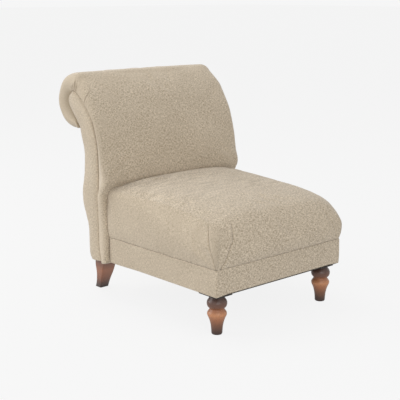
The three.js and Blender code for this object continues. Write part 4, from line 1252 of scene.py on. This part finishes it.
class CHAIR_OT_rear_legs(bpy.types.Operator):
    """Square rear legs swept to the rear and drawn in towards the foot, with softened edges"""
    bl_idname = "chair.rear_legs"
    bl_label = "Rear legs"

    def execute(self, context):
        radius = context.scene.chair_sizes.foot_rounding / MM
        rows = sampled(REAR_LEG, 70)
        z, front, rear, outer, inner = (rows[:, i:i + 1] for i in range(5))
        a = np.linspace(0, np.pi / 2, 7)
        corners = []
        for turn, (sx, sy) in enumerate(((1, 1), (-1, 1), (-1, -1), (1, -1))):
            angle = a + turn * np.pi / 2
            edge_x = np.where(sx > 0, outer, inner) - sx * radius
            edge_y = np.where(sy > 0, rear, front) - sy * radius
            corners.append(np.stack([edge_x + radius * np.cos(angle), edge_y + radius * np.sin(angle)], -1))
        ring = np.concatenate(corners, axis=1)
        ring = np.concatenate([ring, np.broadcast_to(z[..., None], ring.shape[:2] + (1,))], -1)
        chamfer = self.drawn_in(ring[0], ((1.6 / 30, 139.7), (0.5 / 30, 139.2)))
        lower = self.drawn_in(ring[-1], ((0.4 / 18, 0.6), (1.4 / 18, 0.0)))
        keep = ring[(ring[:, 0, 2] < 138.8) & (ring[:, 0, 2] > 1.0)]
        ring = np.concatenate([chamfer, keep, lower])
        for side, sign in SIDES:
            solid = ring * np.array([sign, 1.0, 1.0])
            make_piece(
                f"swept_leg_{side}", [{"points": placed(solid), "wrap": True}], (f"rear_leg_{side}",),
                leg_material("rear"), merge=2e-6)
        return {"FINISHED"}

    def drawn_in(self, ring, steps):
        """Copies of a ring drawn in towards its middle, by (share of the way, height)."""
        plan = ring[:, :2]
        return [
            np.column_stack([mix(plan, plan.mean(axis=0), share), np.full(len(ring), z)])
            for share, z in steps]


SHEET_SAG = 0.0022
SHEET_WAVE = 0.0007


class CHAIR_OT_dust_sheet(bpy.types.Operator):
    """Thin black cloth stapled under the seat frame, sagging a little between the rails"""
    bl_idname = "chair.dust_sheet"
    bl_label = "Dust sheet"

    def execute(self, context):
        low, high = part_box("dust_cover")
        px, py = np.meshgrid(np.linspace(low.x, high.x, 90), np.linspace(low.y, high.y, 90))
        u, v = np.meshgrid(np.linspace(0, 1, 90), np.linspace(0, 1, 90))
        inner = smooth(0.05, 0.25, np.minimum(u, 1 - u)) * smooth(0.05, 0.25, np.minimum(v, 1 - v))
        wave = noise(np.stack([px, py, 0 * px], -1), 0.03, 61) * SHEET_WAVE
        sag = (wave - SHEET_SAG) * inner
        lower = np.stack([px, py, low.z + sag], -1)
        upper = lower + np.array([0, 0, high.z - low.z])
        grids = [{"points": grid} for grid in (lower, upper, *rims(lower, upper))]
        piece = make_piece("dust_sheet", grids, ("dust_cover",), materials()["black_cloth"])
        return {"FINISHED"}


# Materials of this chair

MADE = {}


def cloth_material():
    """The chenille in the colours of the settings, made once."""
    if "cloth" not in MADE:
        colours = bpy.context.scene.chair_colours
        shades = (colours.cloth_light, colours.cloth_dark, colours.seam_shade)
        MADE["cloth"] = chenille("cream_chenille", *(tuple(shade) for shade in shades))
    return MADE["cloth"]


# Colours up a leg, as (share of its height, red, green, blue): the dark top is painted shade under the seat,
# and the foot is darker
LEG_COLOURS_AND_SHADE = {
    "front": (
        (0.0, 58, 42, 38), (0.10, 84, 60, 50), (0.26, 128, 86, 63), (0.42, 172, 112, 76),
        (0.52, 196, 136, 96), (0.62, 158, 104, 72), (0.72, 112, 76, 60), (0.84, 92, 66, 56),
        (1.0, 58, 44, 40)),
    "rear": (
        (0.0, 46, 32, 28), (0.14, 84, 56, 44), (0.35, 138, 88, 64), (0.62, 162, 104, 74),
        (0.86, 122, 78, 56), (1.0, 72, 48, 40)),
}
LEG_HEIGHT = 0.135


def leg_material(kind):
    """The stained wood of the front or the rear legs, made once each."""
    if kind not in MADE:
        stops = [(share, linear(*rgb)) for share, *rgb in LEG_COLOURS_AND_SHADE[kind]]
        MADE[kind] = turned_wood(f"stained_{kind}_leg_wood", stops, LEG_HEIGHT)
    return MADE[kind]


def materials():
    """The finishes of the inner parts by slot, made once."""
    if "black_cloth" not in MADE:
        MADE.update({
            "foam": cellular_foam("cream_foam", linear(236, 226, 196), linear(219, 203, 164)),
            "felt": plain_cloth("grey_felt", linear(150, 146, 138), linear(106, 103, 98), 0.004),
            "black_cloth": plain_cloth("black_lining", linear(48, 47, 46), linear(26, 26, 26), 0.0016),
            "timber": sawn_wood("rail_timber", linear(214, 180, 130), linear(176, 134, 86)),
            "plywood": sawn_wood(
                "birch_board", linear(222, 194, 148), linear(190, 154, 106), (1.0, 0.6, 0.08)),
            "plate_steel": metal("dark_plate", linear(46, 40, 36), 0.5, 0.3),
            "steel": metal("zinc_steel", linear(160, 162, 164), 0.36, 1.0),
        })
    return MADE


class CHAIR_OT_inner_parts(bpy.types.Operator):
    """Finishes of the frame, springs, plates and bolts, by the record's own slots"""
    bl_idname = "chair.inner_parts"
    bl_label = "Frame and fittings"

    def execute(self, context):
        made = materials()
        for part in frame["record"]["subparts"]:
            node = frame["nodes"][part["node"]]
            slot = part["material_slot"]
            if node.hide_render:
                continue
            node.data.materials.clear()
            node.data.materials.append(cloth_material() if slot == "chenille" else made[slot])
        return {"FINISHED"}


FLOOR_HALF = 60.0
LAMPS = (   # name, place, width
    ("key", (-3.1, 2.9, 1.9), 2.4),
    ("overhead", (-0.3, 1.7, 4.2), 2.2),
    ("front", (-1.8, -3.4, 1.9), 2.5),
)
LAMP_TARGET = Vector((0, 0, 0.4))
CAMERA_ANGLES = (-41.946, 12.515)       # azimuth and elevation, in degrees
CAMERA_PLACE = (-2.22166, -2.06109 + BAND_FRONT, 1.08536)
CAMERA_LENS = 84.1


class CHAIR_OT_stage(bpy.types.Operator):
    """Pale floor and surroundings, a large soft lamp on the left and the photograph's camera"""
    bl_idname = "chair.stage"
    bl_label = "Floor, light and camera"

    def execute(self, context):
        light = context.scene.chair_light
        scene = context.scene
        scene.view_settings.view_transform = "Standard"
        pale = linear(246, 246, 246)
        floor = Finish("pale_floor")
        seen = floor.node("LightPath", output="Is Camera Ray")
        shader = floor.node("MixShader", inputs={
            0: seen * 0.5 + 0.4, 1: floor.node("BsdfDiffuse", inputs={"Color": linear(205, 205, 205)}),
            2: floor.node("Emission", inputs={"Color": pale, "Strength": 1.04}),
        })
        floor.node("OutputMaterial", inputs={"Surface": shader})
        mesh = bpy.data.meshes.new("floor")
        corners = [(x * FLOOR_HALF, y * FLOOR_HALF, 0) for x, y in ((-1, -1), (1, -1), (1, 1), (-1, 1))]
        mesh.from_pydata(corners, [], [(0, 1, 2, 3)])
        ground = bpy.data.objects.new("floor", mesh)
        scene.collection.objects.link(ground)
        mesh.materials.append(floor.material)
        self.surroundings(scene, light, pale)
        for name, place, size in LAMPS:
            self.lamp(scene, name, getattr(light, name + "_power"), place, size)
        self.camera(scene)
        return {"FINISHED"}

    def surroundings(self, scene, light, pale):
        """White light from all sides, and the pale colour where the camera or a mirror looks at it."""
        scene.world = bpy.data.worlds.new("studio")
        sky = Finish("studio", scene.world)
        looked_at = sky.node("LightPath", output="Is Camera Ray").maths(
            "MAXIMUM", sky.node("LightPath", output="Is Glossy Ray"))
        shader = sky.node("MixShader", inputs={
            0: looked_at,
            1: sky.node("Background", inputs={"Color": (1.0, 1.0, 1.0, 1.0), "Strength": light.fill_level}),
            2: sky.node("Background", inputs={"Color": pale}),
        })
        sky.node("OutputWorld", inputs={"Surface": shader})

    def lamp(self, scene, name, power, place, size):
        data = bpy.data.lights.new(name, "AREA")
        data.energy = power
        data.size = size
        lamp = bpy.data.objects.new(name, data)
        scene.collection.objects.link(lamp)
        lamp.location = place
        lamp.rotation_mode = "QUATERNION"
        lamp.rotation_quaternion = (LAMP_TARGET - Vector(place)).to_track_quat("-Z", "Y")

    def camera(self, scene):
        azimuth, elevation = (math.radians(angle) for angle in CAMERA_ANGLES)
        back = Vector((
            math.sin(azimuth) * math.cos(elevation), -math.cos(azimuth) * math.cos(elevation),
            math.sin(elevation)))
        data = bpy.data.cameras.new("camera")
        data.sensor_width = 36.0
        data.lens = CAMERA_LENS
        camera = bpy.data.objects.new("camera", data)
        scene.collection.objects.link(camera)
        camera.location = CAMERA_PLACE
        camera.rotation_mode = "QUATERNION"
        camera.rotation_quaternion = (-back).to_track_quat("-Z", "Y")
        scene.camera = camera


OPERATORS = (
    CHAIR_OT_seat_cushion, CHAIR_OT_seat_band, CHAIR_OT_inside_back, CHAIR_OT_facings,
    CHAIR_OT_outside_back, CHAIR_OT_front_legs, CHAIR_OT_rear_legs, CHAIR_OT_dust_sheet,
    CHAIR_OT_inner_parts, CHAIR_OT_stage,
)


class CHAIR_PT_panel(bpy.types.Panel):
    """Lists the chair's settings and pieces"""
    bl_idname = "CHAIR_PT_panel"
    bl_label = "Slipper chair"
    bl_space_type = "VIEW_3D"
    bl_region_type = "UI"
    bl_category = "Chair"

    def draw(self, context):
        for group in ("chair_sizes", "chair_colours", "chair_light"):
            settings = getattr(context.scene, group)
            box = self.layout.box()
            for name in settings.__annotations__:
                box.prop(settings, name)
        for operator in OPERATORS:
            self.layout.operator(operator.bl_idname)


CLASSES = (ChairSizes, ChairColours, ChairLight, *OPERATORS, CHAIR_PT_panel)


def register():
    for cls in CLASSES:
        bpy.utils.register_class(cls)
    bpy.types.Scene.chair_sizes = PointerProperty(type=ChairSizes)
    bpy.types.Scene.chair_colours = PointerProperty(type=ChairColours)
    bpy.types.Scene.chair_light = PointerProperty(type=ChairLight)


def unregister():
    del bpy.types.Scene.chair_light
    del bpy.types.Scene.chair_colours
    del bpy.types.Scene.chair_sizes
    for cls in reversed(CLASSES):
        bpy.utils.unregister_class(cls)


def main():
    register()
    for operator in OPERATORS:
        group, name = operator.bl_idname.split(".")
        getattr(getattr(bpy.ops, group), name)()


if __name__ == "__main__":
    main()
